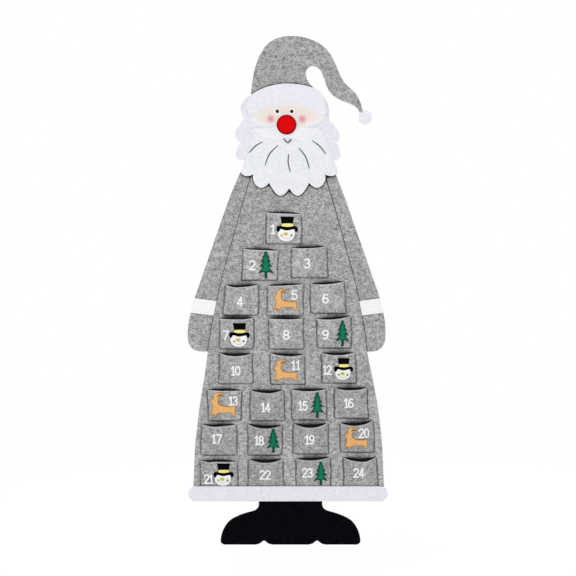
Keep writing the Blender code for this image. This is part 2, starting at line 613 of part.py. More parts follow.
def make_head(white, skin, red, black):
    """The hair, and on it the face, the hat's trim, the beard, moustache, nose and eyes."""
    points = outline(HAIR_RUNS_SHARES, HAIR_WIDTH, HAIR_HEIGHT)
    cut_felt("hair", points, WHITE_FELT, SEWN_BACK, white, at=(0, HAIR_TOP))
    points = outline(FACE_RUNS_SHARES, FACE_WIDTH, FACE_HEIGHT)
    cut_felt("face", points, THIN_FELT, FACE_BACK, skin, at=(FACE_SHIFT, FACE_TOP))
    points = outline(TRIM_RUNS_SHARES, TRIM_WIDTH, TRIM_HEIGHT)
    cut_felt("hat_trim", points, WHITE_FELT, TRIM_BACK, white,
             at=(FACE_SHIFT, HAIR_TOP + TRIM_OVERLAP))
    points = outline(mirrored(BEARD_HALF_RUNS_SHARES), BEARD_WIDTH / 2, BEARD_HEIGHT)
    cut_felt("beard", points, WHITE_FELT, FACE_BACK, white, at=(BEARD_SHIFT, BEARD_TOP))
    points = outline(mirrored(MOUSTACHE_HALF_RUNS_SHARES), MOUSTACHE_WIDTH / 2, MOUSTACHE_HEIGHT)
    cut_felt("moustache", points, WHITE_FELT, MOUSTACHE_BACK, white,
             at=on_face(MOUSTACHE_PLACE_SHARES))

    padded = NOSE_RADIUS - NOSE_FLANGE
    swell = NOSE_DEPTH - NOSE_FLANGE_DEPTH
    profile = [(0, 0), (NOSE_RADIUS, 0), (NOSE_RADIUS, NOSE_FLANGE_DEPTH)]
    for step in range(7):
        angle = step / 6 * math.pi / 2
        profile.append((padded * math.cos(angle), NOSE_FLANGE_DEPTH + swell * math.sin(angle)))
    turned("nose", profile, NOSE_BACK, red, on_face(NOSE_PLACE_SHARES))

    middle_x, middle_z = on_face(EYES_PLACE_SHARES)
    profile = [(0, 0)]
    for step in range(5):
        angle = step / 4 * math.pi / 2
        profile.append((EYE_RADIUS * math.cos(angle), EYE_DEPTH * math.sin(angle)))
    for side_name, side in (("left", -1), ("right", 1)):
        place = (middle_x + side * EYE_SPACING / 2, middle_z)
        turned(f"{side_name}_eye", profile, TRIM_BACK, black, place, steps=16)


def plan_pockets():
    """Every pocket's place and shape, row by row from the top."""
    pockets = []
    for row, (count, gap_share, shift_share) in enumerate(ROW_SHARES):
        pitch = POCKET_WIDTH + gap_share * COLUMN_GAP
        row_lip = BODY_TOP - BODY_HEIGHT * (FIRST_LIP_SHARE + ROW_PITCH_SHARE * row)
        for column in range(count):
            number = len(pockets) + 1
            lift_share, fall, sag_share = SEWN_SHARES[number]
            lip = row_lip + lift_share * ROW_GAP
            foot = max(lip - POCKET_HEIGHT, HEM_TOP + EDGE_GAP)
            pockets.append(Pocket(
                number=number,
                x=shift_share * COLUMN_GAP + (column - (count - 1) / 2) * pitch,
                foot=foot,
                height=lip - foot,
                fall=math.tan(math.radians(fall)),
                sag=sag_share * LIP_SAG,
                gape=LIP_GAPE * (LEAST_GAPE_SHARE + (1 - LEAST_GAPE_SHARE) * sag_share),
            ))
    return pockets


def pocket_grid(pocket, depth=0):
    """Rows of points from foot to lip, this far in front of the back of the pocket's felt.

    The felt lies flat in its seams. Between them it bulges, most of all at the lip, whose
    middle sags.
    """
    half_width = POCKET_WIDTH / 2
    free = half_width - POCKET_SEAM
    bends = [share * free for share in POCKET_ACROSS_SHARES]
    columns = [-half_width, -free, *[-x for x in reversed(bends)], *bends, free, half_width]
    rows = [[(x, -depth, 0) for x in columns]]
    for share in POCKET_UP_SHARES:
        row = []
        for x in columns:
            swell = max(1 - (x / free) ** 2, 0)
            lip = pocket.height - pocket.fall * x - pocket.sag * swell
            bulge = pocket.gape * swell * math.sin(share * math.pi / 2)
            row.append((x, -depth - bulge, POCKET_SEAM + share * (lip - POCKET_SEAM)))
        rows.append(row)
    return rows


def sheet(name, grid, thickness):
    """A closed mesh on a grid of back points, this thick towards the front."""
    shape = bmesh.new()
    layers = [[[shape.verts.new((x, y - depth, z)) for x, y, z in row] for row in grid]
              for depth in (0, thickness)]
    last_row, last_column = len(grid) - 1, len(grid[0]) - 1
    for layer in layers:
        for low, high in zip(layer, layer[1:]):
            for column in range(last_column):
                a, b = low[column], low[column + 1]
                c, d = high[column + 1], high[column]
                halves = ((a, b, c), (a, c, d)) if column < last_column / 2 else ((a, b, d), (b, c, d))
                for half in halves:
                    shape.faces.new(half)
    rim = [(0, column) for column in range(last_column)]
    rim += [(row, last_column) for row in range(last_row)]
    rim += [(last_row, column) for column in range(last_column, 0, -1)]
    rim += [(row, 0) for row in range(last_row, 0, -1)]
    back, front = layers
    for (row, column), (next_row, next_column) in zip(rim, rim[1:] + rim[:1]):
        shape.faces.new((back[row][column], back[next_row][next_column],
                         front[next_row][next_column], front[row][column]))
    bmesh.ops.recalc_face_normals(shape, faces=shape.faces)
    mesh = bpy.data.meshes.new(name)
    shape.to_mesh(mesh)
    shape.free()
    return mesh


def make_pocket(pocket, grey):
    """A pocket, sewn to the body at its sides and foot and open at its lip."""
    name = f"pocket_{pocket.number:02d}"
    mesh = sheet(name, pocket_grid(pocket), POCKET_FELT)
    mesh.shade_smooth()
    mesh.set_sharp_from_angle(angle=math.radians(40))
    add_object(name, mesh, grey, (pocket.x, SEWN_BACK, pocket.foot))


def add_motif(name, pocket, points, place_shares, height, material):
    """A thin felt motif that follows the front of its pocket.

    Its outline, counted from the middle of its top, is carried through a skin of felt that
    lies on the pocket, and what both share is left.
    """
    across, up, size = place_shares
    middle_x = across * POCKET_WIDTH
    top = pocket.height / 2 + up * POCKET_HEIGHT + size * height / 2
    corners = [(middle_x + size * x, 0, top + size * z) for x, z in points]
    depth = (0, -(LIP_GAPE + POCKET_FELT + THIN_FELT + CUT_OVERRUN), 0)
    place = (pocket.x, SEWN_BACK, pocket.foot)
    motif = add_object(name, prism(name, corners, depth), material, place)
    skin = sheet(f"{name}_skin", pocket_grid(pocket, POCKET_FELT + SEAT_GAP), THIN_FELT)
    cut(motif, add_guide(f"{name}_skin", skin, place), "INTERSECT")


def tree_points():
    """The fir tree's outline: its tiers down one side, the trunk, and back up the other."""
    half_width = TREE_WIDTH / 2
    side = []
    for corners in TREE_TIER_SHARES:
        side += [(out * half_width, -down * TREE_HEIGHT) for out, down in corners]
    trunk_top = side[-1][1]
    side += [(TREE_TRUNK / 2, trunk_top), (TREE_TRUNK / 2, -TREE_HEIGHT)]
    return [(0, 0), *side, *to_side(reversed(side), -1)]


def make_motifs(pockets, green, orange, black, white):
    """The fir trees, reindeer and snowmen on some of the pockets."""
    for number, place in TREE_PLACE_SHARES.items():
        add_motif(f"fir_tree_{number:02d}", pockets[number - 1], tree_points(), place,
                  TREE_HEIGHT, green)
    points = outline(REINDEER_RUNS_SHARES, REINDEER_WIDTH, REINDEER_HEIGHT, steps=2)
    for number, place in REINDEER_PLACE_SHARES.items():
        add_motif(f"reindeer_{number:02d}", pockets[number - 1], points, place,
                  REINDEER_HEIGHT, orange)
    hat = outline(SNOWMAN_HAT_RUNS_SHARES, SNOWMAN_WIDTH, SNOWMAN_HEIGHT, steps=2)
    head = outline(SNOWMAN_HEAD_RUNS_SHARES, SNOWMAN_WIDTH, SNOWMAN_HEIGHT, steps=2)
    for number, place in SNOWMAN_PLACE_SHARES.items():
        add_motif(f"snowman_hat_{number:02d}", pockets[number - 1], hat, place,
                  SNOWMAN_HEIGHT, black)
        add_motif(f"snowman_head_{number:02d}", pockets[number - 1], head, place,
                  SNOWMAN_HEIGHT, white)


def make_calendar():
    """The whole calendar."""
    clear_scene()
    grey = felt("grey_felt", GREY)
    white = felt("white_felt", WHITE)
    black = felt("black_felt", BLACK)
    skin = felt("skin_felt", SKIN)
    red = felt("red_felt", RED)
    green = felt("green_felt", GREEN)
    orange = felt("orange_felt", ORANGE)
    bead = felt("black_bead", BLACK, roughness=0.35)

    make_body(grey)
    for side_name, side in (("left", -1), ("right", 1)):
        make_arm(side_name, side, grey, white)
    make_hem(white)
    make_boots(black)
    make_hat(grey, white)
    make_hanging_tab(grey)
    make_head(white, skin, red, bead)
    pockets = plan_pockets()
    for pocket in pockets:
        make_pocket(pocket, grey)
    make_motifs(pockets, green, orange, black, white)


make_calendar()
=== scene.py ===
"""The looks of the felt advent calendar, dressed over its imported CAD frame.

Metres, +Z up, the front faces -Y. Every felt piece is rebuilt as soft cut felt with rounded
edges on the outline of its CAD node. The pockets follow the CAD's own lip and bulge formula,
and the motifs, the numbers and the stitches lie on the pockets' felt.
"""

import json
from math import atan2, cos, degrees, dist, exp, inf, pi, radians, sin, tan, tau

import bmesh
import bpy
import numpy as np
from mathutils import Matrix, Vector, noise
from mathutils.geometry import delaunay_2d_cdt

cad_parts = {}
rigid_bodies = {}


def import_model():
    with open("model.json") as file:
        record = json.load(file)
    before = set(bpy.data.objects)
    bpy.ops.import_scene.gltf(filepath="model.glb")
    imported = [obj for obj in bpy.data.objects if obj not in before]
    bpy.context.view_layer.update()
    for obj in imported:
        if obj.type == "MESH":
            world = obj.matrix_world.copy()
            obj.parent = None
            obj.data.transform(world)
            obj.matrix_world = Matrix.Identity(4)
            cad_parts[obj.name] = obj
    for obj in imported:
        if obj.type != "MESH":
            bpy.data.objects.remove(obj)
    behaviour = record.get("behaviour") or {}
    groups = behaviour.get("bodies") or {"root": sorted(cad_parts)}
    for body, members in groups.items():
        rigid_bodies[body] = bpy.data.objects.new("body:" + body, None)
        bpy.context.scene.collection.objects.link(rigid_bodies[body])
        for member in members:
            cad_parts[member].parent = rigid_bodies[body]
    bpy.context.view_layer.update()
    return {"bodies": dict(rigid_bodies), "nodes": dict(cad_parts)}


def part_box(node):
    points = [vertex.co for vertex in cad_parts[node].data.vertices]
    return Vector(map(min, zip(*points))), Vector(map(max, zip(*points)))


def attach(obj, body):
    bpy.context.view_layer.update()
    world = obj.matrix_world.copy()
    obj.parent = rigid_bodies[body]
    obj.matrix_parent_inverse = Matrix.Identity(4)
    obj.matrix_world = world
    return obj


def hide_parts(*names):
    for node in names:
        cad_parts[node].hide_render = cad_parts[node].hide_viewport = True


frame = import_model()

MM = 0.001
FRONT = Vector((0, -1, 0))

# The CAD's felt and pocket sizes
BODY_FELT = 3.0 * MM
WHITE_FELT = 2.0 * MM
POCKET_FELT = 2.0 * MM
THIN_FELT = 1.0 * MM
SEAT_GAP = 0.3 * MM
SEWN_BACK = -2 * (BODY_FELT + SEAT_GAP)  # The back of what is sewn on the body's front
POCKET_WIDTH = 87.0 * MM
POCKET_SEAM = 4.0 * MM
LIP_SAG = 9.4 * MM
LIP_GAPE = 18.0 * MM
LEAST_GAPE = 0.60
LOWER_CORNER = 3.0 * MM
UPPER_CORNER = 1.2 * MM
POCKET_SPACING = 2.0 * MM
SEAM_RADII = (0.75 * MM, 0.5 * MM, 0.75 * MM)  # Left, foot and right

# Each pocket's fall of the lip to the right in degrees, its sag as a share of LIP_SAG, the
# middle of its number in the photo's pixels, and how far its sides stand from true, to the
# right, in these pixels: the left one's top and foot, and the right one's
POCKETS = {
    1: (2.3, 0.15, (272.75, 229.25), (1, 1, 0, 0)),
    2: (2.6, 0.12, (252.25, 265.25), (2.5, 0.5, 1.3, -0.8)),
    3: (-2.4, 0.3, (307, 263.5), (0.7, 0, -0.7, 0.7)),
    4: (-0.8, 0.58, (240.25, 301.5), (2.7, -0.3, -0.8, -1.3)),
    5: (-3, 0.15, (294.25, 295), (1.8, 1, 1, 0.5)),
    6: (-3.9, 0.38, (325.25, 298.5), (1, 2, -1.5, 1)),
    7: (-0.8, 0.26, (225.5, 335.25), (1.8, 2, -0.7, -1)),
    8: (0, 0.22, (286.25, 334.75), (1.7, 2.5, -0.5, 0.6)),
    9: (-4.6, 0.45, (325.25, 334.5), (0.8, 2, -1, -0.5)),
    10: (0, 0.75, (235.5, 370.5), (3, 1.5, -2, -1)),
    11: (2.4, 0.56, (295.75, 365), (1, 2, -1, 0)),
    12: (-1.1, 0.58, (326.5, 369.75), (1, 2.5, -1.5, 0)),
    13: (0.9, 0.15, (233.25, 400.75), (1.3, 2.8, -0.8, -2)),
    14: (0, 0.62, (265.5, 407), (2, 1.8, -1.3, 0)),
    15: (-0.5, 0.45, (302.5, 405.5), (0.3, 1.5, -1, -0.7)),
    16: (-0.8, 0.56, (348.25, 402.75), (1.8, 1.3, -3, -1.3)),
    17: (-0.6, 0.38, (216.75, 438.5), (1.2, 0, -0.3, 0.5)),
    18: (2, 0.84, (259, 440), (1.2, 2, 0, -1.5)),
    19: (-0.8, 1, (309.25, 439.25), (0.8, 0.3, -1, -0.3)),
    20: (-3.9, 0.85, (363.75, 432.75), (1.3, 2.5, -1.5, -0.3)),
    21: (2.1, 0.1, (209, 478.75), (-1, 0.5, 1, 1)),
    22: (0, 0.75, (265.25, 474.25), (1, 0.2, -1.7, 0)),
    23: (-2.6, 0.46, (307.25, 472.25), (0.8, 2.2, -0.3, -0.3)),
    24: (-0.5, 0.86, (358.5, 472.25), (1.7, 2.8, -2, 0)),
}

# Dents in single lips: where across the pocket, and how deep
DENTS = {21: (-0.27, 2.6 * MM), 24: (0.12, 1.6 * MM), 14: (0.10, 1.2 * MM),
         17: (-0.15, 1.0 * MM), 4: (-0.20, 1.2 * MM), 7: (0.18, 0.8 * MM)}
DENT_WIDTH = 0.13  # As a share of the pocket's

# The small unevenness of a pocket's felt
LIP_ROUGHNESS = 0.5 * MM
CREASE_DEPTH = 0.35 * MM
CREASE_RATE = 700  # Radians to the metre
FOLD_DEPTH = 0.8 * MM
SIDE_WOBBLE = 0.35  # The photo's pixels
SIDE_SHARE = 0.85

# The flat pieces: look, slot, the mesh's cell and the step along its edge in millimetres, how
# the felt is held, how far it is pressed thin at its edge, and what it rests on
FLAT_PIECES = {
    "body_panel": ("panel", "grey_felt", 10, 2.5, "hung", 0.0, ["hair"]),
    "left_arm": ("grey", "grey_felt", 9, 2.5, "hung", 0.0, ["body_panel"]),
    "left_cuff": ("cuff", "white_felt", 6, 2.0, "hung", 0.0, ["left_arm"]),
    "right_arm": ("grey", "grey_felt", 9, 2.5, "hung", 0.0, ["body_panel"]),
    "right_cuff": ("cuff", "white_felt", 6, 2.0, "hung", 0.0, ["right_arm"]),
    "hem_band": ("hem", "white_felt", 7, 2.5, "stretched", 0.0, ["body_panel"]),
    "boots": ("black", "black_felt", 9, 2.5, "hung", 0.0, ["body_panel"]),
    "hat": ("grey", "grey_felt", 8, 2.0, "hung", 0.0, ["hanging_tab"]),
    "hat_bobble": ("trim", "white_felt", 4, 1.6, "stretched", 0.0, ["hat"]),
    "hair": ("hair", "white_felt", 4, 2.0, "stretched", 0.3, ["hat", "body_panel"]),
    "face": ("face", "skin_felt", 4, 2.0, "stretched", 0.4, ["hair"]),
    "hat_trim": ("trim", "white_felt", 3, 2.0, "stretched", 0.8, ["face"]),
    "beard": ("beard", "white_felt", 2.6, 1.6, "stretched", 0.7, ["hair"]),
    "moustache": ("moustache", "white_felt", 2.6, 1.6, "stretched", 0.8, ["beard", "face"]),
}

# The photo's scale, its place of the origin, half its frame, and the camera's sensor and lens
# in millimetres
PIXEL = 2.3576 * MM
ORIGIN_PIXEL = (288, 60.08)
HALF_FRAME = 288
PHOTO_DEPTH = -6 * MM  # Where its scale holds
SENSOR, LENS = 36, 105

# The lamps: place, size and power
LAMPS = {"key": ((-1.0, -3.0, 0.7), 1.6, 43), "fill": ((1.3, -3.0, -1.3), 1.8, 35),
         "rear": ((0.6, 2.4, 1.0), 1.8, 26)}
LAMP_AIM = Vector((0, 0, -0.54))
FLOOR_HEIGHT = -1.235

ARM_SEAM = (60.1 * MM, -247.6 * MM)  # Its top on the right, in x and z
ARM_SEAM_SLOPE = 0.25
ARM_SEAM_REACH = 30 * MM  # How far from it the felt lies flat
# The hung felt's waves: how many to the metre across and up, where they start, and their height
WAVES = ((5.5, 4.0, 3.1, 1.3 * MM), (14.0, 10.0, 8.7, 0.45 * MM))

PRESS_REACH = 6 * MM  # How far in from its edge pressed felt is thinner
CORNER = 0.293  # What a round corner halfway along it leaves of its radius
NUMBER_HEIGHT = 23.6 * MM
NUMBER_STROKE = 3.5 * MM
PRINT_DEPTH = 0.12 * MM

# Two colours of each plain felt and, where they differ from the white felts', its sheen, its
# gloss and the colour of its edge
PLAIN_FELTS = {
    "hair": ((0.76, 0.76, 0.85), (0.86, 0.86, 0.90)),
    "trim": ((0.81, 0.80, 0.87), (0.89, 0.885, 0.92)),
    "beard": ((0.80, 0.81, 0.86), (0.89, 0.895, 0.915)),
    "moustache": ((0.85, 0.86, 0.90), (0.91, 0.92, 0.94)),
    "cuff": ((0.905, 0.905, 0.90), (0.96, 0.96, 0.955)),
    "hem": ((0.80, 0.795, 0.865), (0.89, 0.885, 0.925)),
    "snow": ((0.92, 0.91, 0.93), (0.96, 0.96, 0.96)),
    "black": ((0.0018, 0.0020, 0.0030), (0.004, 0.0045, 0.006), 0.0, 0.02),
    "green": ((0.010, 0.18, 0.088), (0.013, 0.235, 0.125), 0.0, 0.02, (0.006, 0.072, 0.036)),
    "orange": ((0.85, 0.42, 0.13), (0.86, 0.54, 0.24), 0.0, 0.05, (0.66, 0.37, 0.16)),
    "yellow": ((0.93, 0.82, 0.22), (0.94, 0.87, 0.38), 0.0),
    "mustard": ((0.55, 0.44, 0.09), (0.70, 0.58, 0.18), 0.0, 0.10, (0.93, 0.87, 0.52)),
    "rose": ((0.42, 0.31, 0.26), (0.52, 0.42, 0.36), 0.0),
    "plum": ((0.15, 0.10, 0.11), (0.24, 0.17, 0.18), 0.0),
}

# Each thread's colour, and a paler one for patches. The dark thread's near black is real seam
# thread and partly painted shade, the shadow along the pockets' sewn sides, broken by its paler
# patches
THREADS = {
    "dark_thread": ((0.030, 0.030, 0.030), (0.15, 0.15, 0.15)),
    "grey_thread": ((0.095, 0.095, 0.105),),
    "red_thread": ((0.25, 0.002, 0.005),),
    "brown_thread": ((0.45, 0.19, 0.05),),
    "smile_thread": ((0.42, 0.33, 0.36),),
}

# The grey felt's light and dark fibres: their directions in degrees, width, strength and tone
GREY_FIBRES = (((-33, 48, 8), 1.5 * MM, 0.55, 0.70), ((-57, 26, 85), 1.7 * MM, 0.60, 0.07))
# Painted light: the heights between which the grey felts grow lighter or darker towards the foot
PAINTED_LIGHT_HEIGHTS = (-1.00, -0.45)  # Metres, between which the coat's tone changes
# Painted shade: how far the occlusion node looks, and the open shares at which its painted shade
# is deepest and at which it fades out
PAINTED_SHADE_REACH = 52 * MM
PAINTED_SHADE_OPEN = (0.695, 0.770)  # How open the deepest crook and the plain felt are


def from_photo(px, py):
    """The (x, z) place of a point of the photo on the calendar's front."""
    return (px - ORIGIN_PIXEL[0]) * PIXEL, (ORIGIN_PIXEL[1] - py) * PIXEL


def disc_of(node):
    """The middle of a CAD node, in x and z, and half its width."""
    low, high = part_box(node)
    return (low.x + high.x) / 2, (low.z + high.z) / 2, (high.x - low.x) / 2


NOSE_X, NOSE_Z, NOSE_RADIUS = disc_of("nose")
# The nose stands a little aside from its solid's middle, where the photo has it
NOSE_MIDDLE = (NOSE_X + 1.2 * MM, NOSE_Z - 1.8 * MM)
NOSE_RINGS, NOSE_STEPS, NOSE_GATHERS = 25, 120, 22
NOSE_UNEVEN = 0.35 * MM
NOSE_RIM = 0.2  # The share of the nose's rings that form its rim
FACE_MIDDLE = from_photo(286.5, 116.0)
CHEEKS = (from_photo(270.8, 118.8), from_photo(302.2, 119.2))


class Nodes:
    """A node tree. A value given to an input may be another node's output."""

    def __init__(self, tree):
        self.tree = tree

    def put(self, socket, value):
        """Sets an input, or links it."""
        if isinstance(value, bpy.types.NodeSocket):
            self.tree.links.new(value, socket)
        else:
            socket.default_value = (*value, 1.0) if socket.type == "RGBA" else value

    def add(self, kind, inputs, **settings):
        """A new node with these inputs and settings."""
        node = self.tree.nodes.new(f"ShaderNode{kind}")
        for key, value in settings.items():
            setattr(node, key, value)
        for key, value in inputs.items():
            self.put(node.inputs[key], value)
        return node

    def math(self, operation, first, second):
        """The result of a sum on numbers."""
        return self.add("Math", {0: first, 1: second}, operation=operation).outputs[0]

    def seen_by(self, *rays):
        """1 for the camera and for these rays, and 0 for all others."""
        path = self.add("LightPath", {}).outputs
        share = path["Is Camera Ray"]
        for ray in rays:
            share = self.math("MAXIMUM", share, path[f"Is {ray} Ray"])
        return share

    def mix_shaders(self, share, first, second):
        """A mix of two nodes' shaders."""
        return self.add("MixShader", {0: share, 1: first.outputs[0],
                                      2: second.outputs[0]}).outputs[0]


class Graph(Nodes):
    """A material's nodes."""

    def __init__(self, name, roughness=0.95, sheen=0.0, specular=0.10):
        self.material = bpy.data.materials.new(name)
        self.material.use_nodes = True
        super().__init__(self.material.node_tree)
        self.shader = self.tree.nodes["Principled BSDF"]
        for key, value in (("Roughness", roughness), ("Sheen Weight", sheen),
                           ("Sheen Roughness", 0.6), ("Specular IOR Level", specular)):
            self.put(self.shader.inputs[key], value)
        self.place = self.add("TexCoord", {}).outputs["Object"]

    def vector(self, operation, first, second):
        """The result of a sum on vectors."""
        node = self.add("VectorMath", {0: first, 1: second}, operation=operation)
        return node.outputs["Value" if operation == "DISTANCE" else "Vector"]

    def mix(self, share, first, second):
        """A mix of two colours."""
        return self.add("Mix", {0: share, 6: first, 7: second}, data_type="RGBA").outputs[2]

    def map_range(self, value, low, high, to_low=0.0, to_high=1.0):
        """A value carried smoothly from one range to another, and held at its ends."""
        return self.add("MapRange", {0: value, 1: low, 2: high, 3: to_low, 4: to_high},
                        interpolation_type="SMOOTHSTEP").outputs[0]

    def noise(self, scale, detail=2.0, rough=0.5, place=None, twist=0.0):
        """A noise of this many features to the metre."""
        return self.add("TexNoise", {"Vector": place or self.place, "Scale": scale,
                                     "Detail": detail, "Roughness": rough,
                                     "Distortion": twist}).outputs[0]

    def clouds(self, scale, low, high, most=1.0, **settings):
        """A mask from a noise, which is 0 up to low and full from high."""
        return self.map_range(self.noise(scale, **settings), low, high, 0.0, most)

    def fibres(self, turn, width, length, low, high):
        """A mask of thin fibres that run at this many degrees."""
        place = self.add("Mapping", {"Vector": self.place,
                                     "Rotation": (0, radians(turn), 0),
                                     "Scale": (1 / length, 1 / length, 1 / width)}).outputs[0]
        return self.clouds(1.0, low, high, rough=0.6, place=place)

    def near_edge(self, near, far):
        """1 at the felt's cut edge and up to near, and 0 from far away from it."""
        away = self.add("Attribute", {}, attribute_name="from_edge").outputs["Fac"]
        return self.map_range(away, near, far, 1.0, 0.0)

    def away(self, x, z, across=1.0, up=1.0):
        """The distance from a place in the front view, stretched by these shares."""
        flat = self.vector("MULTIPLY", self.place, (across, 0, up))
        return self.vector("DISTANCE", flat, (x * across, 0, z * up))

    def finish(self, colour, height, depth):
        """Gives the shader its colour and its bump, and returns the material."""
        bump = self.add("Bump", {"Strength": 1.0, "Distance": depth, "Height": height})
        self.put(self.shader.inputs["Base Color"], colour)
        self.put(self.shader.inputs["Normal"], bump.outputs[0])
        return self.material

    def finish_felt(self, colour, depth):
        """Finishes matted felt: clumps of a few millimetres, and short fibres on them."""
        clumps = self.noise(320.0, 4.0, 0.65)
        strands = self.math("MAXIMUM", self.fibres(24, 0.7 * MM, 5 * MM, 0.50, 0.72),
                            self.fibres(-51, 0.7 * MM, 5 * MM, 0.50, 0.72))
        height = self.math("ADD", clumps, self.math("MULTIPLY", strands, 0.5))
        return self.finish(colour, height, depth)


def heather_felt(name, level, foot_light_level=None, painted_highlight=0.0):
    """Grey felt of mixed light and dark fibres, with painted shade in the crooks between pieces.

    Its tone may change from the coat's chest to its foot as painted light, and its edge may carry
    a painted highlight.
    """
    def grey(value):
        return value * level, value * level, value * level * 0.975

    graph = Graph(name, sheen=0.15)
    cloud = graph.clouds(125.0, 0.30, 0.70, detail=1.0, twist=1.2)
    fine = graph.clouds(300.0, 0.32, 0.68, rough=0.6, twist=0.6)
    colour = graph.mix(cloud, grey(0.155), grey(0.60))
    colour = graph.mix(0.40, colour, graph.mix(fine, grey(0.16), grey(0.60)))
    for turns, width, strength, tone in GREY_FIBRES:
        for turn in turns:
            mask = graph.fibres(turn, width, 9 * MM, 0.58, 0.70)
            colour = graph.mix(graph.math("MULTIPLY", mask, strength), colour, grey(tone))
    # A painted highlight along the pocket's lip, where its rounded top would catch the light
    if painted_highlight:
        share = graph.math("MULTIPLY", graph.near_edge(1.2 * MM, 3.4 * MM), painted_highlight)
        colour = graph.mix(share, colour, (0.80, 0.80, 0.79))
    colour = graph.mix(graph.clouds(10.0, 0.30, 0.70, 0.22, detail=1.0), colour, grey(0.25))
    # Painted light: the felt grows lighter or darker towards the foot, standing in for uneven
    # light
    if foot_light_level:
        height = graph.add("SeparateXYZ", {0: graph.place}).outputs["Z"]
        tone = graph.map_range(height, *PAINTED_LIGHT_HEIGHTS, foot_light_level / level, 1.0)
        colour = graph.add("VectorMath", {0: colour, "Scale": tone},
                           operation="SCALE").outputs["Vector"]
    # Painted shade: the felt darkens to near black where it is hemmed in, in crooks, pocket mouths
    # and under the beard
    occlusion = graph.add("AmbientOcclusion", {"Distance": PAINTED_SHADE_REACH}, samples=16)
    unshaded_share = graph.map_range(occlusion.outputs["AO"], *PAINTED_SHADE_OPEN)
    colour = graph.mix(unshaded_share, (0.003, 0.003, 0.003), colour)
    return graph.finish_felt(colour, 0.5 * MM)


def plain_felt(name, colour, other, sheen=0.1, specular=0.10, edge=None):
    """Felt of one colour, mottled with a second one, whose cut edge may have its own."""
    graph = Graph(name, sheen=sheen, specular=specular)
    mixed = graph.mix(graph.clouds(150.0, 0.32, 0.68, twist=0.8), colour, other)
    mixed = graph.mix(graph.clouds(28.0, 0.35, 0.70, 0.5), mixed,
                      [(c + o) / 2 for c, o in zip(colour, other)])
    mixed = graph.mix(graph.clouds(330.0, 0.35, 0.75, 0.6, rough=0.6), mixed,
                      [c * 0.90 for c in colour])
    if edge:
        mixed = graph.mix(graph.near_edge(0.6 * MM, 3.2 * MM), mixed, edge)
    return graph.finish_felt(mixed, 0.35 * MM)


def face_felt():
    """Peach felt that pales at its edge and round the nose, with rouged cheeks.

    The eyes stand in white rings.
    """
    graph = Graph("face_felt")

    def near(place, inner, outer, most):
        return graph.map_range(graph.away(*place), inner, outer, most, 0.0)

    inner = graph.map_range(graph.away(*FACE_MIDDLE, 11.4, 33.0), 0.62, 1.04, 1.0, 0.0)
    cloud = graph.clouds(120.0, 0.35, 0.70, detail=3.0, rough=0.6)
    peach = graph.mix(cloud, (0.845, 0.740, 0.665), (0.835, 0.765, 0.690))
    colour = graph.mix(inner, (0.86, 0.85, 0.87), peach)
    colour = graph.mix(near(NOSE_MIDDLE, 26 * MM, 34 * MM, 0.6), colour, (0.88, 0.86, 0.84))
    for cheek in CHEEKS:
        colour = graph.mix(near(cheek, 0.5 * MM, 14 * MM, 0.95), colour, (0.74, 0.29, 0.32))
    for node in ("left_eye", "right_eye"):
        ring = near(disc_of(node)[:2], 6.0 * MM, 9.0 * MM, 0.9)
        colour = graph.mix(ring, colour, (0.94, 0.94, 0.93))
    return graph.finish_felt(colour, 0.3 * MM)


def nose_felt():
    """Bright red felt whose sewn rim is dark red."""
    graph = Graph("nose_felt", specular=0.02)
    rim = graph.map_range(graph.away(*NOSE_MIDDLE), NOSE_RADIUS * 0.79, NOSE_RADIUS * 0.88)
    cloud = graph.clouds(140.0, 0.35, 0.70, detail=3.0, rough=0.6)
    red = graph.mix(cloud, (0.76, 0.003, 0.004), (0.65, 0.003, 0.004))
    return graph.finish_felt(graph.mix(rim, red, (0.34, 0.002, 0.006)), 0.35 * MM)


def thread(name, colour, pale_patches=None):
    """Sewing thread, twisted from plies, which may be paler in patches."""
    graph = Graph(name, roughness=0.75, sheen=0.1)
    plies = graph.noise(1600.0)
    shade = graph.mix(plies, [c * 0.75 for c in colour], [min(c * 1.2, 1) for c in colour])
    # Paler patches, which break up the dark seams' painted shade
    if pale_patches:
        shade = graph.mix(graph.clouds(38.0, 0.44, 0.64, rough=0.6), shade, pale_patches)
    return graph.finish(shade, plies, 0.15 * MM)


def print_white():
    """The white of the printed numbers, slightly broken by the felt's surface."""
    graph = Graph("number_print", roughness=0.8)
    grain = graph.clouds(420.0, 0.30, 0.65, detail=4.0, rough=0.7)
    return graph.finish(graph.mix(grain, (0.86, 0.86, 0.86), (0.95, 0.95, 0.95)), grain,
                        PRINT_DEPTH)


def bead():
    """Glossy black."""
    graph = Graph("black_bead", roughness=0.3, specular=0.2)
    grain = graph.noise(900.0)
    return graph.finish(graph.mix(grain, (0.002, 0.002, 0.003), (0.006, 0.006, 0.008)), grain,
                        0.02 * MM)


LOOKS = {
    # Three copies of one grey felt whose levels and foot levels are painted light: the pockets
    # lighter at the top, the coat's panel lighter at its foot
    "grey": heather_felt("heather_grey_felt", 1.05),
    "panel": heather_felt("panel_grey_felt", 1.04, 1.18),
    "pocket": heather_felt("pocket_grey_felt", 1.16, 1.02, 0.55),
    "face": face_felt(),
    "nose": nose_felt(),
    "number": print_white(),
    "bead": bead(),
    **{name: plain_felt(f"{name}_felt", *felt) for name, felt in PLAIN_FELTS.items()},
    **{name: thread(name, *colours) for name, colours in THREADS.items()},
}


# Outlines, as (x, z) points that run anticlockwise

CLOSE = 0.2 * MM  # Points nearer than this are one
STRAIGHT = 0.6  # Degrees
LONG = 2.5  # Times its neighbour, from which a stretch is split
ROW_SHARE = 0.87  # Between rows of points, as a share of the cell
CLEAR_SHARE = 0.45  # Between the edge and the nearest points


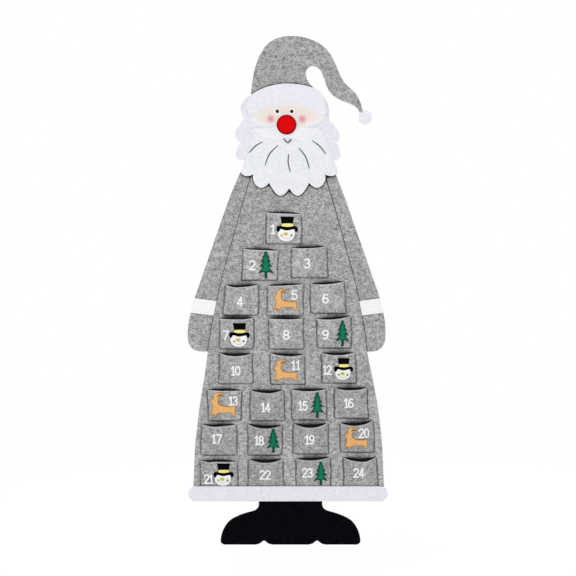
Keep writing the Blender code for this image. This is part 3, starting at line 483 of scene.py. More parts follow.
def outline_of(node):
    """The outline of a CAD piece's front."""
    shape = bmesh.new()
    shape.from_mesh(frame["nodes"][node].data)
    bmesh.ops.remove_doubles(shape, verts=shape.verts, dist=0.01 * MM)
    shape.normal_update()
    front = dict.fromkeys(face for face in shape.faces if face.normal.y < -0.3)
    after = {}
    for face in front:
        for loop in face.loops:
            if not all(other in front for other in loop.edge.link_faces):
                after[loop.vert] = loop.link_loop_next.vert
    rings = []
    while after:
        start = next(iter(after))
        ring = [start]
        while after[ring[-1]] is not start:
            ring.append(after[ring[-1]])
        for vert in ring:
            del after[vert]
        rings.append([(vert.co.x, vert.co.z) for vert in ring])
    shape.free()
    return max(rings, key=len)


def turns_of(ring):
    """How sharply a ring turns at each of its points, in degrees."""
    ahead = [atan2(b[1] - a[1], b[0] - a[0]) for a, b in zip(ring, ring[1:] + ring[:1])]
    return [degrees(abs((ahead[i] - ahead[i - 1] + pi) % tau - pi))
            for i in range(len(ring))]


def cleaned(ring):
    """The ring without points that lie close together or on a straight line."""
    points = [ring[0]]
    for point in ring[1:]:
        if dist(point, points[-1]) > CLOSE:
            points.append(point)
    if dist(points[0], points[-1]) < CLOSE:
        points.pop()
    return [point for point, turn in zip(points, turns_of(points)) if turn > STRAIGHT]


def split_long(points, closed):
    """The points, with one more near each end of a stretch far longer than its neighbour."""
    count = len(points)
    stretches = count if closed else count - 1
    lengths = [dist(points[i], points[(i + 1) % count]) for i in range(stretches)]
    result = []
    for i in range(stretches):
        a, b = np.array(points[i]), np.array(points[(i + 1) % count])
        result.append(a)
        before = lengths[i - 1] if closed or i else inf
        after = lengths[(i + 1) % stretches] if closed or i < stretches - 1 else inf
        if lengths[i] > before * LONG:
            result.append(a + (b - a) * before / lengths[i])
        if lengths[i] > after * LONG:
            result.append(b + (a - b) * after / lengths[i])
    if not closed:
        result.append(np.array(points[-1]))
    return result


def smooth_run(points, spacing, closed=False):
    """A smooth curve through the points, cut at about this spacing, without its end."""
    places = split_long(points, closed)
    count = len(places)
    stretches = count if closed else count - 1
    steps = [places[(i + 1) % count] - places[i] for i in range(stretches)]
    lengths = [max(float(np.linalg.norm(step)), 1e-9) for step in steps]
    headings = [step / length for step, length in zip(steps, lengths)]
    tangents = []
    for i in range(count):
        j = i % count if closed else min(i, stretches - 1)
        k = i - 1 if closed else max(i - 1, 0)
        mean = headings[k] * lengths[j] + headings[j] * lengths[k]
        tangents.append(mean / max(float(np.linalg.norm(mean)), 1e-9))
    curve = []
    for i in range(stretches):
        a, b, length = places[i], places[(i + 1) % count], lengths[i]
        leave, arrive = tangents[i] * length, tangents[(i + 1) % count] * length
        cuts = max(1, round(length / spacing))
        for cut in range(cuts):
            t = cut / cuts
            curve.append(tuple(a * (2 * t ** 3 - 3 * t * t + 1) + leave * (t ** 3 - 2 * t * t + t)
                               + b * (3 * t * t - 2 * t ** 3) + arrive * (t ** 3 - t * t)))
    return curve


def smoothed(ring, spacing, corner=34):
    """The ring at an even spacing, smooth between corners of more than these degrees."""
    points = cleaned(ring)
    count = len(points)
    corners = [i for i, turn in enumerate(turns_of(points)) if turn > corner]
    if not corners:
        return smooth_run(points, spacing, closed=True)
    curve = []
    for first, last in zip(corners, corners[1:] + [corners[0] + count]):
        curve += smooth_run([points[i % count] for i in range(first, last + 1)], spacing)
    return curve


def cut_line(start, end, cuts):
    """The points that cut a straight line into this many parts."""
    return [(start[0] + (end[0] - start[0]) * i / cuts, start[1] + (end[1] - start[1]) * i / cuts)
            for i in range(cuts + 1)]


def arc(x, z, across, up, start, end, cuts=14):
    """Points along an oval's edge between two directions in degrees."""
    turns = [radians(start + (end - start) * i / cuts) for i in range(cuts + 1)]
    return [(x + across * cos(t), z + up * sin(t)) for t in turns]


def oval(x, z, across, up, cuts=20):
    """An oval ring round a middle."""
    return arc(x, z, across, up, 0, 360, cuts)[:-1]


def inset(ring, distance):
    """The ring, moved inwards."""
    p = np.array(ring)
    ahead = np.roll(p, -1, axis=0) - p
    ahead /= np.maximum(np.linalg.norm(ahead, axis=1, keepdims=True), 1e-9)
    normals = np.stack([-ahead[:, 1], ahead[:, 0]], axis=1)
    both = normals + np.roll(normals, 1, axis=0)
    size = np.linalg.norm(both, axis=1, keepdims=True)
    both = np.where(size > 1e-6, both / np.maximum(size, 1e-9), normals)
    lean = np.maximum((both * normals).sum(1, keepdims=True), 0.6)
    return p + both * distance / lean


def inside(points, ring):
    """Which of the points lie inside the ring."""
    x, z = points[:, 0][:, None], points[:, 1][:, None]
    a, b = ring, np.roll(ring, -1, axis=0)
    crosses = (a[:, 1] > z) != (b[:, 1] > z)
    slope = (b[:, 0] - a[:, 0]) / np.where(b[:, 1] == a[:, 1], 1e-12, b[:, 1] - a[:, 1])
    return (crosses & (x < a[:, 0] + slope * (z - a[:, 1]))).sum(1) % 2 == 1


def reach_of(points, edge):
    """How far each point lies from a ring's points."""
    return np.array([np.hypot(edge[:, 0] - x, edge[:, 1] - z).min() for x, z in points])


def filled(edge, cell):
    """A ring's inside as triangles: its points, of which the ring's come first, and faces.

    Nothing in a ring crosses or coincides, so its points keep their order.
    """
    low, high = edge.min(0), edge.max(0)
    rows = []
    for number, z in enumerate(np.arange(low[1] + cell / 2, high[1], cell * ROW_SHARE)):
        xs = np.arange(low[0] + (cell / 2 if number % 2 else cell), high[0], cell)
        rows += [(x, z) for x in xs]
    extra = np.array(rows).reshape(-1, 2)
    extra = extra[inside(extra, edge)]
    extra = extra[reach_of(extra, edge) > cell * CLEAR_SHARE]
    points = [Vector(point) for point in (*edge, *extra)]
    found = delaunay_2d_cdt(points, [], [list(range(len(edge)))], 1, 1e-8)
    return [tuple(point) for point in found[0]], [tuple(face) for face in found[2]]


# Meshes and pieces


def built(verts, faces):
    """A smooth mesh of these points and faces."""
    mesh = bpy.data.meshes.new("built")
    mesh.from_pydata(verts, [], faces)
    mesh.shade_smooth()
    return mesh


def mesh_of(shape):
    """A smooth mesh from a bmesh, which is freed."""
    bmesh.ops.recalc_face_normals(shape, faces=shape.faces)
    mesh = bpy.data.meshes.new("built")
    shape.to_mesh(mesh)
    shape.free()
    mesh.shade_smooth()
    return mesh


def felt_mesh(ring, thickness, place, cell, rounding=0.34, pressed=0.0, lip=None):
    """Closed felt on a ring, whose edges are rounded, with each point put by place.

    Pressed felt thins towards its edge by this share. Each point keeps its distance from the
    edge, or from the points of its lip, for the material.
    """
    def thinned(reach):
        return 1 - pressed * (1 - np.minimum(reach / PRESS_REACH, 1)) ** 2

    ring = np.array(ring)
    lip = ring if lip is None else np.array(lip)
    r = thickness * rounding
    edge = thickness * thinned(r)
    profile = [(r * CORNER, edge - r * CORNER), (0, max(edge - r, r * 1.02)), (0, r),
               (r * CORNER, r * CORNER)]
    flat, faces = filled(inset(ring, r), cell)
    count, rim = len(ring), len(flat)
    shares = thinned(reach_of(flat, ring))
    verts = [place(x, z, thickness * share) for (x, z), share in zip(flat, shares)]
    verts += [place(x, z, 0) for x, z in flat]
    away = [*reach_of(flat, lip)] * 2 + [*reach_of(ring, lip)] * len(profile)
    faces += [(c + rim, b + rim, a + rim) for a, b, c in faces]
    rings = [range(count)]
    for inward, depth in profile:
        rings.append(range(len(verts), len(verts) + count))
        verts += [place(x, z, depth) for x, z in inset(ring, inward)]
    rings.append(range(rim, rim + count))
    for upper, lower in zip(rings, rings[1:]):
        for i in range(count):
            j = (i + 1) % count
            faces.append((upper[i], lower[i], lower[j], upper[j]))
    mesh = built(verts, faces)
    mesh.attributes.new("from_edge", "FLOAT", "POINT").data.foreach_set("value", away)
    return mesh


def domed(rings, foot, top):
    """A closed mesh over rings of points, with a point under the first and over the last."""
    steps = len(rings[0])
    last = steps * (len(rings) - 1)
    verts = [point for ring in rings for point in ring] + [foot, top]
    faces = []
    for k in range(steps):
        n = (k + 1) % steps
        faces += [(a + k, a + n, a + steps + n, a + steps + k) for a in range(0, last, steps)]
        faces += [(n, k, len(verts) - 2), (last + k, last + n, len(verts) - 1)]
    return built(verts, faces)


def round_bead(x, z, radius, height, place, count, steps):
    """A low round bead on a surface, of this many rings."""
    rings = []
    for index in range(count):
        angle = index / count * pi / 2
        reach = radius * cos(angle)
        rings.append([place(px, pz, height * sin(angle))
                      for px, pz in oval(x, z, reach, reach, steps)])
    return domed(rings, place(x, z, -0.1 * MM), place(x, z, height))


def tube_ring(shape, middle, across, up, sides):
    """New points on an oval with these half axes."""
    turns = [k / sides * tau for k in range(sides)]
    return [shape.verts.new(middle + across * cos(t) + up * sin(t)) for t in turns]


def skin(shape, rings):
    """Joins rings of points into a closed tube."""
    for one, two in zip(rings, rings[1:]):
        for k in range(len(one)):
            n = (k + 1) % len(one)
            shape.faces.new((one[k], one[n], two[n], two[k]))
    shape.faces.new(rings[0][::-1])
    shape.faces.new(rings[-1])


def add_stitch(shape, start, end, out, radius):
    """Adds one stitch: a short bowed thread whose ends dive into the felt."""
    start, end, out = Vector(start), Vector(end), Vector(out).normalized()
    across = (end - start).normalized().cross(out).normalized()
    rings = []
    for t in (0.0, 0.25, 0.5, 0.75, 1.0):
        arch = sin(t * pi)
        middle = start.lerp(end, t) + out * radius * (arch - 0.35)
        size = radius * (0.45 + 0.55 * arch ** 0.5)
        rings.append(tube_ring(shape, middle, across * size, out * size, 6))
    skin(shape, rings)


def stitched_line(shape, points, out, length, gap, radius):
    """Adds stitches along a line of points, which bow in the direction out of the felt."""
    places = [Vector(p) for p in points]
    reach = [0.0]
    for a, b in zip(places, places[1:]):
        reach.append(reach[-1] + (b - a).length)
    count = max(1, int((reach[-1] + gap) / (length + gap)))
    pitch = reach[-1] / count

    def at(distance):
        last = len(places) - 2
        i = next((i for i in range(last) if distance <= reach[i + 1]), last)
        t = (distance - reach[i]) / max(reach[i + 1] - reach[i], 1e-9)
        return places[i].lerp(places[i + 1], min(max(t, 0), 1))

    for index in range(count):
        add_stitch(shape, at(index * pitch + gap / 2), at((index + 1) * pitch - gap / 2), out,
                   radius)


def thick_line(shape, points, radius):
    """Adds a line of close embroidery: a low bead, thickest halfway, with slanted turns."""
    places = [Vector(p) for p in points]
    fine = []
    for a, b in zip(places, places[1:]):
        cuts = max(1, round((b - a).length / (0.5 * MM)))
        fine += [a.lerp(b, i / cuts) for i in range(cuts)]
    fine.append(places[-1])
    last = len(fine) - 1
    rings = []
    for index, middle in enumerate(fine):
        ahead = fine[min(index + 1, last)] - fine[max(index - 1, 0)]
        size = radius * (0.35 + 0.65 * sin(index / last * pi) ** 0.4)
        size *= 1 + 0.09 * sin(index * 1.9)
        across = ahead.cross(FRONT).normalized() * size
        rings.append(tube_ring(shape, middle, across, FRONT * size * 0.55, 8))
    skin(shape, rings)


def shown(name, mesh, look, body="calendar", replaces=()):
    """Puts a mesh in the scene as a piece that rides on a body."""
    mesh.name = name
    mesh.materials.append(LOOKS[look])
    piece = bpy.data.objects.new(name, mesh)
    bpy.context.scene.collection.objects.link(piece)
    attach(piece, body)
    if replaces:
        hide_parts(*replaces)
    return piece


def keep_flat(piece):
    """Keeps the flat sides flat beside their rounded edges."""
    piece.modifiers.new("flat_sides", "WEIGHTED_NORMAL").weight = 60


def shown_felt(node, mesh, look, body="calendar"):
    """Shows the felt of a CAD node in the node's place, with its flat sides kept flat."""
    piece = shown(f"felt_{node}", mesh, look, body, (node,))
    keep_flat(piece)


def show_stitches(name, look, lines, out, length, gap):
    """Shows stitches along lines of points, each given with its thread's radius."""
    shape = bmesh.new()
    for line, radius in lines:
        stitched_line(shape, line, out, length, gap, radius)
    shown(name, mesh_of(shape), look)


def wave(x, z):
    """How far the whole calendar stands forward at a place, because hung felt isn't flat.

    It is flat along the seams that the arms fold on.
    """
    away = abs(abs(x) - ARM_SEAM[0] - ARM_SEAM_SLOPE * (ARM_SEAM[1] - z)) / ARM_SEAM_REACH
    free = min(away, 1) ** 2 * (3 - 2 * min(away, 1))
    return free * sum(height * noise.noise(Vector((x * across, start, z * up)))
                      for across, up, start, height in WAVES)


def flat_piece(name, lift=None):
    """A piece of flat felt on the outline of the CAD node of the same name, and as thick.

    A folding piece rides on the body of its name, and a cuff on its arm's.
    """
    look, slot, cell, spacing, held, pressed, rests_on = FLAT_PIECES[name]
    ring = smoothed(outline_of(name), spacing * MM)
    low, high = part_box(name)

    def place(x, z, depth):
        forward = wave(x, z) + (lift(x, z) if lift else 0)
        return x, high.y - depth - forward, z

    mesh = felt_mesh(ring, high.y - low.y, place, cell * MM, pressed=pressed)
    body = name.replace("cuff", "arm")
    if body not in frame["bodies"]:
        body = "calendar"
    shown_felt(name, mesh, look, body)


# The pockets, and what is on them


class Pocket:
    """A pocket's place and form, as the CAD's formula gives them."""

    def __init__(self, number):
        low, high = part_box(f"pocket_{number:02d}")
        fall, sag_share, self.number_at, self.sides = POCKETS[number]
        self.number = number
        self.name = f"pocket_{number:02d}"
        self.x = (low.x + high.x) / 2
        self.foot = low.z
        self.fall = tan(radians(fall))
        self.half = POCKET_WIDTH / 2
        self.free = self.half - POCKET_SEAM
        self.height = high.z - low.z - abs(self.fall) * self.half
        self.sag = sag_share * LIP_SAG
        self.gape = LIP_GAPE * (LEAST_GAPE + (1 - LEAST_GAPE) * sag_share)

    def lip(self, x):
        """The lip's height above the foot."""
        swell = max(1 - (x / self.free) ** 2, 0)
        height = self.height - self.fall * x - self.sag * swell
        if self.number in DENTS:
            where, depth = DENTS[self.number]
            height -= depth * exp(-((x / POCKET_WIDTH - where) / DENT_WIDTH) ** 2)
        return height + LIP_ROUGHNESS * noise.noise(Vector((x * 60, self.number * 3.7, 0))) * swell

    def forward(self, x, z):
        """How far the pocket's felt stands in front of its seams, at this place on it."""
        swell = max(1 - (x / self.free) ** 2, 0)
        share = min(max((z - POCKET_SEAM) / (self.lip(x) - POCKET_SEAM), 0), 1)
        bulge = self.gape * swell * sin(share * pi / 2)
        side = (abs(x) / self.free) ** 6 if abs(x) < self.free else 0
        creases = CREASE_DEPTH * sin(z * CREASE_RATE + self.number) * side * share
        folds = FOLD_DEPTH * noise.noise(Vector((x * 38, self.number * 5.3, z * 30)))
        return bulge + creases + folds * swell * share

    def sideways(self, x, z):
        """How far the felt is drawn aside, most at its sewn sides, which aren't quite upright."""
        share = min(max(z / self.height, 0), 1)
        top, foot = self.sides[:2] if x < 0 else self.sides[2:]
        drawn = foot + (top - foot) * share
        drawn += SIDE_WOBBLE * sin(z * 110 + self.number * 2.3 + (1.7 if x > 0 else 0))
        return SIDE_SHARE * drawn * PIXEL * abs(x / self.half) ** 3

    def place(self, x, z, depth):
        """The point on the pocket's felt at this (x, z) place and this depth from its back."""
        px, pz = self.x + x + self.sideways(x, z), self.foot + z
        return px, SEWN_BACK - depth - self.forward(x, z) - wave(px, pz), pz

    def cut(self, u, v, depth):
        """The point for a place on the flat cut pocket, whose height is the plain one."""
        share = min(max((v - POCKET_SEAM) / (self.height - POCKET_SEAM), 0), 1)
        z = v if v < POCKET_SEAM else POCKET_SEAM + share * (self.lip(u) - POCKET_SEAM)
        return self.place(u, z, depth)

    def on_top(self, raised):
        """A place function for felt that lies on the pocket, in the calendar's x and z."""
        def place(x, z, depth):
            return self.place(x - self.x, z - self.foot, POCKET_FELT + raised + depth)
        return place


def pocket_ring(half, height):
    """A rectangle from z = 0 up, with rounded lower corners and nearly sharp upper ones."""
    points = []
    for quarter, side in enumerate((1, 1, -1, -1)):
        r = UPPER_CORNER if quarter in (1, 2) else LOWER_CORNER
        z = height - r if quarter in (1, 2) else r
        points += arc(side * (half - r), z, r, r, 90 * quarter - 90, 90 * quarter, 4)
    ring = []
    for a, b in zip(points, points[1:] + points[:1]):
        ring += cut_line(a, b, max(1, round(dist(a, b) / POCKET_SPACING)))[:-1]
    return ring


def make_pocket(pocket):
    """A pocket of sagging felt and the stitched seam along its sides and foot."""
    ring = pocket_ring(pocket.half, pocket.height)
    lip = [(x, z) for x, z in ring if z > pocket.height - 0.5 * MM]
    mesh = felt_mesh(ring, POCKET_FELT, pocket.cut, 3.2 * MM, rounding=0.36, lip=lip)
    shown_felt(pocket.name, mesh, "pocket")

    side, low, top = pocket.half - 1.6 * MM, 1.6 * MM, pocket.height - 1.5 * MM
    corners = [(-side, top), (-side, low), (side, low), (side, top)]
    # The near-black seam, thicker at the sides than at the foot, is real thread and partly painted
    # shade along the pocket's sewn sides
    lines = [([pocket.cut(x, z, POCKET_FELT) for x, z in cut_line(start, end, cuts)], radius)
             for start, end, cuts, radius in zip(corners, corners[1:], (24, 30, 24), SEAM_RADII)]
    show_stitches(f"seam_{pocket.number:02d}", "dark_thread", lines, FRONT, 3.6 * MM, 0.6 * MM)


def halves(x, z, across, up):
    """An oval's left and right halves."""
    return [arc(x, z, across, up, 90, 270), arc(x, z, across, up, -90, 90)]


# Each digit's strokes, on a height of 1 with its middle at x = 0
DIGITS = {
    "0": halves(0, 0.5, 0.25, 0.425),
    "1": [[(-0.17, 0.74), (0.04, 0.925)], [(0.04, 0.925), (0.04, 0.075)],
          [(-0.12, 0.075), (0.20, 0.075)]],
    "2": [arc(0, 0.68, 0.245, 0.245, 165, -38), [(0.193, 0.53), (-0.25, 0.075)],
          [(-0.25, 0.075), (0.26, 0.075)]],
    "3": [arc(-0.01, 0.705, 0.215, 0.22, 152, -80), arc(-0.01, 0.295, 0.25, 0.22, 80, -152)],
    "4": [[(0.10, 0.925), (-0.26, 0.29)], [(-0.26, 0.29), (0.28, 0.29)],
          [(0.10, 0.925), (0.10, 0.075)]],
    "5": [[(0.20, 0.925), (-0.15, 0.925)], [(-0.15, 0.925), (-0.19, 0.55)],
          arc(-0.01, 0.34, 0.25, 0.265, 128, -145)],
    "6": [*halves(0, 0.32, 0.245, 0.245),
          [(-0.245, 0.33), (-0.21, 0.62), (-0.10, 0.84), (0.04, 0.925), (0.19, 0.85)]],
    "7": [[(-0.24, 0.925), (0.24, 0.925)], [(0.24, 0.925), (0.04, 0.45), (-0.09, 0.075)]],
    "8": [*halves(0, 0.71, 0.195, 0.215), *halves(0, 0.29, 0.24, 0.22)],
    "9": [*halves(0, 0.68, 0.245, 0.245),
          [(0.245, 0.67), (0.22, 0.38), (0.12, 0.15), (-0.03, 0.075), (-0.19, 0.15)]],
}
# How far apart two digits' middles stand, as a share of their height
PITCHES = {"11": 0.46, "17": 0.52, "21": 0.46}
TEENS_PITCH, PLAIN_PITCH = 0.47, 0.56


def round_end(end, heading, radius):
    """The points of a half circle round a line's end."""
    start = degrees(atan2(heading[1], heading[0])) - 90
    return arc(*end, radius, radius, start, start + 180, 7)[1:-1]


def stroke_ring(points):
    """The outline of a number's stroke, with round ends."""
    half = NUMBER_STROKE / 2
    if len(points) > 2:
        line = np.array(smooth_run(points, 1.2 * MM) + [points[-1]])
    else:
        line = np.array(cut_line(*points, 6))
    ahead = np.gradient(line, axis=0)
    ahead /= np.linalg.norm(ahead, axis=1, keepdims=True)
    aside = np.stack([-ahead[:, 1], ahead[:, 0]], axis=1) * half
    return [*(line - aside), *round_end(line[-1], ahead[-1], half), *(line + aside)[::-1],
            *round_end(line[0], -ahead[0], half)]


def make_number(pocket):
    """The printed number on the pocket's felt, built of round-ended strokes."""
    text = str(pocket.number)
    squeeze = 1.08 if len(text) == 1 else 0.86
    pitch = PITCHES.get(text, TEENS_PITCH if text[0] == "1" else PLAIN_PITCH)
    middle_x, middle_z = from_photo(*pocket.number_at)
    strokes = [((index - (len(text) - 1) / 2) * pitch, points)
               for index, digit in enumerate(text) for points in DIGITS[digit]]
    shape = bmesh.new()
    for index, (shift, points) in enumerate(strokes):
        places = [((x * squeeze + shift) * NUMBER_HEIGHT + middle_x,
                   (z - 0.5) * NUMBER_HEIGHT + middle_z) for x, z in points]
        on = pocket.on_top((0.02 + 0.012 * index) * MM)
        mesh = felt_mesh(stroke_ring(places), PRINT_DEPTH, on, 2.0 * MM)
        shape.from_mesh(mesh)
        bpy.data.meshes.remove(mesh)
    shown(f"number_{pocket.number:02d}", mesh_of(shape), "number")


def motif_piece(node, pocket, look, corner):
    """A motif of thin felt on the outline of its CAD node, which is returned."""
    ring = smoothed(outline_of(node), 1.2 * MM, corner)
    mesh = felt_mesh(ring, THIN_FELT, pocket.on_top(SEAT_GAP), 3.0 * MM, rounding=0.3)
    shown_felt(node, mesh, look)
    return ring


def small_felt(name, ring, pocket, raised, thickness, look):
    """A small cut piece of thin felt on a motif."""
    on = pocket.on_top(SEAT_GAP + THIN_FELT + raised)
    keep_flat(shown(name, felt_mesh(ring, thickness, on, 2.0 * MM, rounding=0.3), look))


# The outline of the snowman's nose, in millimetres from its middle
SNOWMAN_NOSE = ((-6.0, -3.0), (-0.6, -5.2), (5.0, -4.2), (6.8, 1.2), (2.6, 4.8), (-3.6, 4.8),
                (-8.2, 1.6))


def make_snowman(pocket):
    """The snowman: a hat with its band, and the head with its face."""
    number = f"{pocket.number:02d}"
    hat_ring = motif_piece(f"snowman_hat_{number}", pocket, "black", 30)
    motif_piece(f"snowman_head_{number}", pocket, "snow", 40)
    low, high = np.min(hat_ring, axis=0), np.max(hat_ring, axis=0)
    middle, width = (low[0] + high[0]) / 2, high[0] - low[0]
    height = (high[1] - low[1]) / 0.61

    def at(across, down):
        return middle + across * width, high[1] - down * height

    def bow(i, cuts):
        return sin(i / cuts * pi)

    upper = [at(-0.25 + 0.066 * i, 0.290 - 0.012 * bow(i, 8)) for i in range(9)]
    lower = [at(0.283 - 0.067 * i, 0.380 + 0.030 * bow(i, 8)) for i in range(9)]
    small_felt(f"hat_band_{number}", smoothed(lower + upper, 1.0 * MM), pocket, 0.1 * MM,
               0.7 * MM, "yellow")
    x, z = at(-0.05, 0.70)
    nose = [(x + across * MM, z + up * MM) for across, up in SNOWMAN_NOSE]
    small_felt(f"snowman_nose_{number}", smoothed(nose, 0.9 * MM, 60), pocket, 0.1 * MM,
               0.8 * MM, "mustard")
    on = pocket.on_top(SEAT_GAP + THIN_FELT - 0.1 * MM)
    line = [on(*at(-0.25 + 0.45 * i / 16, 0.775 + 0.115 * bow(i, 16)), 0.1 * MM)
            for i in range(17)]
    show_stitches(f"snowman_smile_{number}", "smile_thread", [(line, 0.55 * MM)], FRONT,
                  2.6 * MM, 0.3 * MM)
    for side, across, look in (("left", -0.255, "rose"), ("right", 0.205, "plum")):
        cheek = oval(*at(across, 0.752), 2.3 * MM, 2.7 * MM)
        small_felt(f"snowman_cheek_{number}_{side}", cheek, pocket, 0.05 * MM, 0.35 * MM, look)


def make_reindeer(pocket):
    """The leaping reindeer, edged with a darker thread, and its eye."""
    number = f"{pocket.number:02d}"
    ring = motif_piece(f"reindeer_{number}", pocket, "orange", 38)
    low, high = np.min(ring, axis=0), np.max(ring, axis=0)
    on = pocket.on_top(SEAT_GAP + THIN_FELT - 0.1 * MM)
    x = low[0] + (high[0] - low[0]) * 0.175
    z = high[1] - (high[1] - low[1]) * 0.285
    shown(f"reindeer_eye_{number}", round_bead(x, z, 1.0 * MM, 0.8 * MM, on, 3, 12), "bead")
    edge = inset(ring, 0.9 * MM)
    line = [on(px, pz, 0.1 * MM) for px, pz in (*edge, edge[0])]
    show_stitches(f"reindeer_edging_{number}", "brown_thread", [(line, 0.22 * MM)], FRONT,
                  2.0 * MM, 1.0 * MM)


# The head

BEARD_LINES = (
    ((262.8, 141.8), (255.6, 146.2), (248.6, 153.4)),
    ((278.0, 145.6), (270.0, 153.5), (265.0, 165.6)),
    ((288.8, 153.8), (288.2, 163.0), (290.4, 172.0)),
    ((298.6, 147.8), (305.2, 156.4), (309.6, 169.0)),
    ((312.0, 140.6), (319.4, 146.2), (326.0, 154.4)),
)
MOUTH_LINES = (((283.2, 138.8), (287.8, 143.4)), ((287.8, 143.4), (291.6, 139.2)))


def photo_curve(points):
    """A smooth line through points of the photo."""
    places = [from_photo(*point) for point in points]
    if len(places) == 2:
        return cut_line(*places, 4)
    return smooth_run(places, 1.5 * MM) + [places[-1]]


def embroider(name, node, curves, radius, lift=lambda x, z: 0):
    """Lines of grey embroidery on the front of a piece."""
    shape = bmesh.new()
    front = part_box(node)[1].y - WHITE_FELT
    for curve in curves:
        line = [(x, front - wave(x, z) - lift(x, z) - 0.1 * MM, z) for x, z in curve]
        thick_line(shape, line, radius)
    shown(name, mesh_of(shape), "grey_thread")


def make_head():
    """Hair, face, trim, beard, moustache, nose and eyes."""
    curves = [photo_curve(line) for line in BEARD_LINES]
    stitched = np.array([point for curve in curves for point in curve])
    low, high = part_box("beard")

    def lift(x, z):
        """How far the beard stands forward: its lobes' ends more, and its lines less."""
        lobe = max((high.z - z) / (high.z - low.z) - 0.62, 0) ** 1.5 * 11 * MM
        near = float(np.hypot(stitched[:, 0] - x, stitched[:, 1] - z).min())
        return lobe - 0.7 * MM * exp(-(near / (2.2 * MM)) ** 2)

    for name in ("hair", "face", "hat_trim"):
        flat_piece(name)
    flat_piece("beard", lift)
    flat_piece("moustache")
    embroider("beard_stitching", "beard", curves, 1.65 * MM, lift)
    embroider("mouth", "moustache", [photo_curve(line) for line in MOUTH_LINES], 1.5 * MM)
    make_nose()
    for side in ("left", "right"):
        make_eye(side)


def nose_mesh(x, z, back, depth):
    """The nose's crowned disc, whose rim is gathered and whose crown is a little uneven."""
    rings = []
    for index in range(NOSE_RINGS):
        s = index / NOSE_RINGS
        if s < NOSE_RIM:
            r = NOSE_RADIUS * (0.90 + 0.10 * sin(s / NOSE_RIM * pi / 2))
            y = depth * 0.26 * s / NOSE_RIM
        else:
            t = (s - NOSE_RIM) / (1 - NOSE_RIM) * pi / 2
            r = NOSE_RADIUS * cos(t) ** 0.85
            y = depth * (0.26 + 0.74 * sin(t) ** 0.9)
        share = r / NOSE_RADIUS
        ring = []
        for turn in (k / NOSE_STEPS * tau for k in range(NOSE_STEPS)):
            across, up = cos(turn), sin(turn)
            pucker = NOSE_UNEVEN * cos(turn * NOSE_GATHERS) * share ** 8
            sway = NOSE_UNEVEN * noise.noise(Vector((across * share * 2, up * share * 2, 1.7)))
            forward = max(y + pucker + sway * (s > NOSE_RIM), 0)
            reach = r + pucker * 0.4
            ring.append((x + reach * across, back - forward, z + reach * up))
        rings.append(ring)
    return domed(rings, (x, back, z), (x, back - depth, z))


def make_nose():
    """The padded red disc, gathered along its rim by stitches."""
    low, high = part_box("nose")
    x, z = NOSE_MIDDLE
    back, depth = high.y - wave(x, z), high.y - low.y
    piece = shown("padded_nose", nose_mesh(x, z, back, depth), "nose",
                  replaces=("nose",))

    shape = bmesh.new()
    for k in range(NOSE_GATHERS):
        turn = (k + 0.5) / NOSE_GATHERS * tau
        across, up = cos(turn), sin(turn)
        ends = [(x + reach * NOSE_RADIUS * across, back - depth * y, z + reach * NOSE_RADIUS * up)
                for reach, y in ((1.01, 0.10), (0.86, 0.60))]
        add_stitch(shape, *ends, (across, -1.2, up), 0.42 * MM)
    shown("nose_stitches", mesh_of(shape), "red_thread")


def make_eye(side):
    """The black bead of an eye."""
    node = f"{side}_eye"
    x, z, radius = disc_of(node)
    low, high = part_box(node)

    def place(px, pz, depth):
        return px, high.y - depth - wave(x, z), pz

    mesh = round_bead(x, z, radius, high.y - low.y, place, 8, 28)
    shown(f"eye_bead_{side}", mesh, "bead", replaces=(node,))


def make_tab():
    """The hanging tab, with its edges softened, and the stitches that hold it to the hat."""
    shape = bmesh.new()
    shape.from_mesh(frame["nodes"]["hanging_tab"].data)
    bmesh.ops.remove_doubles(shape, verts=shape.verts, dist=0.01 * MM)
    bmesh.ops.dissolve_limit(shape, angle_limit=radians(1), verts=shape.verts,
                             edges=shape.edges)
    for vert in shape.verts:
        vert.co.y -= wave(vert.co.x, vert.co.z)
    piece = shown("felt_hanging_tab", mesh_of(shape), "grey",
                  replaces=("hanging_tab",))
    bevel = piece.modifiers.new("soft_edges", "BEVEL")
    bevel.width = 0.5 * MM
    bevel.segments = 3
    bevel.limit_method = "ANGLE"
    bevel.angle_limit = radians(50)
    keep_flat(piece)
    low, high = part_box("hanging_tab")

    half, back = (high.x - low.x) / 2 - 3.5 * MM, low.y + WHITE_FELT
    top, foot = low.z + 30 * MM, low.z + 3.5 * MM
    corners = [(-half, top), (-half, foot), (half, foot), (half, top), (-half, top)]
    lines = [([(x, back - wave(x, z), z) for x, z in cut_line(start, end, 12)], 0.4 * MM)
             for start, end in zip(corners, corners[1:])]
    show_stitches("tab_stitches", "dark_thread", lines, -FRONT, 3.0 * MM, 1.2 * MM)


# The stage


def placed(name, data, location):
    """A new object of the stage at its place."""
    thing = bpy.data.objects.new(name, data)
    thing.location = location
    bpy.context.scene.collection.objects.link(thing)
    return thing


def make_camera():
    """The camera at the photo's distance, level with its middle."""
    data = bpy.data.cameras.new("camera")
    data.sensor_width = SENSOR
    data.lens = LENS
    distance = HALF_FRAME * PIXEL / (SENSOR / 2 / LENS)
    height = (ORIGIN_PIXEL[1] - HALF_FRAME) * PIXEL
    camera = placed("camera", data, (0, PHOTO_DEPTH - distance, height))
    camera.rotation_euler = (pi / 2, 0, 0)
    bpy.context.scene.camera = camera


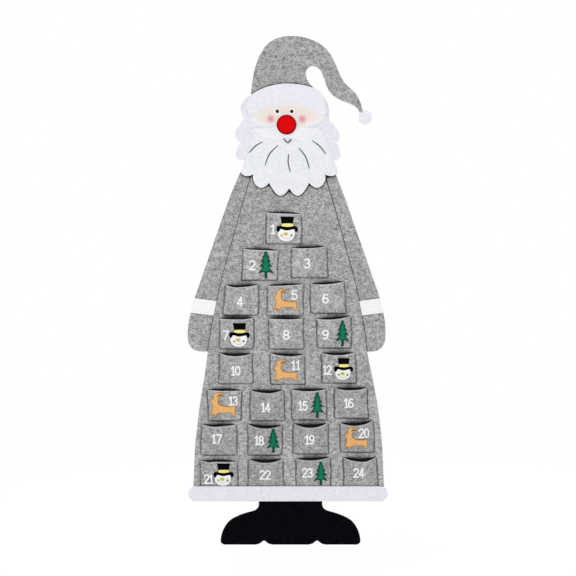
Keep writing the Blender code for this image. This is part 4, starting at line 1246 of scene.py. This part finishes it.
def make_surround():
    """A soft even light from all sides, which the camera sees as white."""
    world = bpy.data.worlds.new("world")
    bpy.context.scene.world = world
    world.use_nodes = True
    world.node_tree.nodes.clear()
    graph = Nodes(world.node_tree)
    ambient = graph.add("Background", {"Color": (0.97, 0.98, 1.0), "Strength": 0.50})
    white = graph.add("Background", {"Color": (1, 1, 1), "Strength": 1.0})
    mix = graph.mix_shaders(graph.seen_by("Glossy", "Transmission"), ambient, white)
    graph.add("OutputWorld", {"Surface": mix})


def make_lamp(name, place, size, power):
    """A large soft lamp that faces the calendar's middle."""
    data = bpy.data.lights.new(name, "AREA")
    data.shape = "DISK"
    data.size = size
    data.energy = power
    lamp = placed(name, data, place)
    lamp.rotation_euler = (LAMP_AIM - Vector(place)).to_track_quat("-Z", "Y").to_euler()


def make_floor():
    """A pale floor that is nearly white to the camera and still takes a faint shadow."""
    graph = Graph("floor", roughness=0.9)
    colour = graph.mix(graph.noise(3.0), (0.90, 0.90, 0.90), (0.92, 0.92, 0.92))
    graph.put(graph.shader.inputs["Base Color"], colour)
    glow = graph.add("Emission", {"Color": (1, 1, 1), "Strength": 1.03})
    share = graph.math("MULTIPLY", graph.seen_by("Glossy"), 0.92)
    graph.put(graph.tree.nodes["Material Output"].inputs["Surface"],
              graph.mix_shaders(share, graph.shader, glow))
    shape = bmesh.new()
    bmesh.ops.create_grid(shape, x_segments=8, y_segments=8, size=6)
    floor = placed("floor", mesh_of(shape), (0, 0, FLOOR_HEIGHT))
    floor.data.materials.append(graph.material)


for name in ("body_panel", "left_arm", "left_cuff", "right_arm", "right_cuff", "hem_band",
             "boots", "hat", "hat_bobble"):
    flat_piece(name)
make_tab()
make_head()
for number in POCKETS:
    pocket = Pocket(number)
    make_pocket(pocket)
    make_number(pocket)
    if f"fir_tree_{number:02d}" in frame["nodes"]:
        motif_piece(f"fir_tree_{number:02d}", pocket, "green", 24)
    if f"reindeer_{number:02d}" in frame["nodes"]:
        make_reindeer(pocket)
    if f"snowman_hat_{number:02d}" in frame["nodes"]:
        make_snowman(pocket)
make_camera()
make_surround()
for name, lamp in LAMPS.items():
    make_lamp(name, *lamp)
make_floor()
bpy.context.scene.view_settings.view_transform = "Standard"
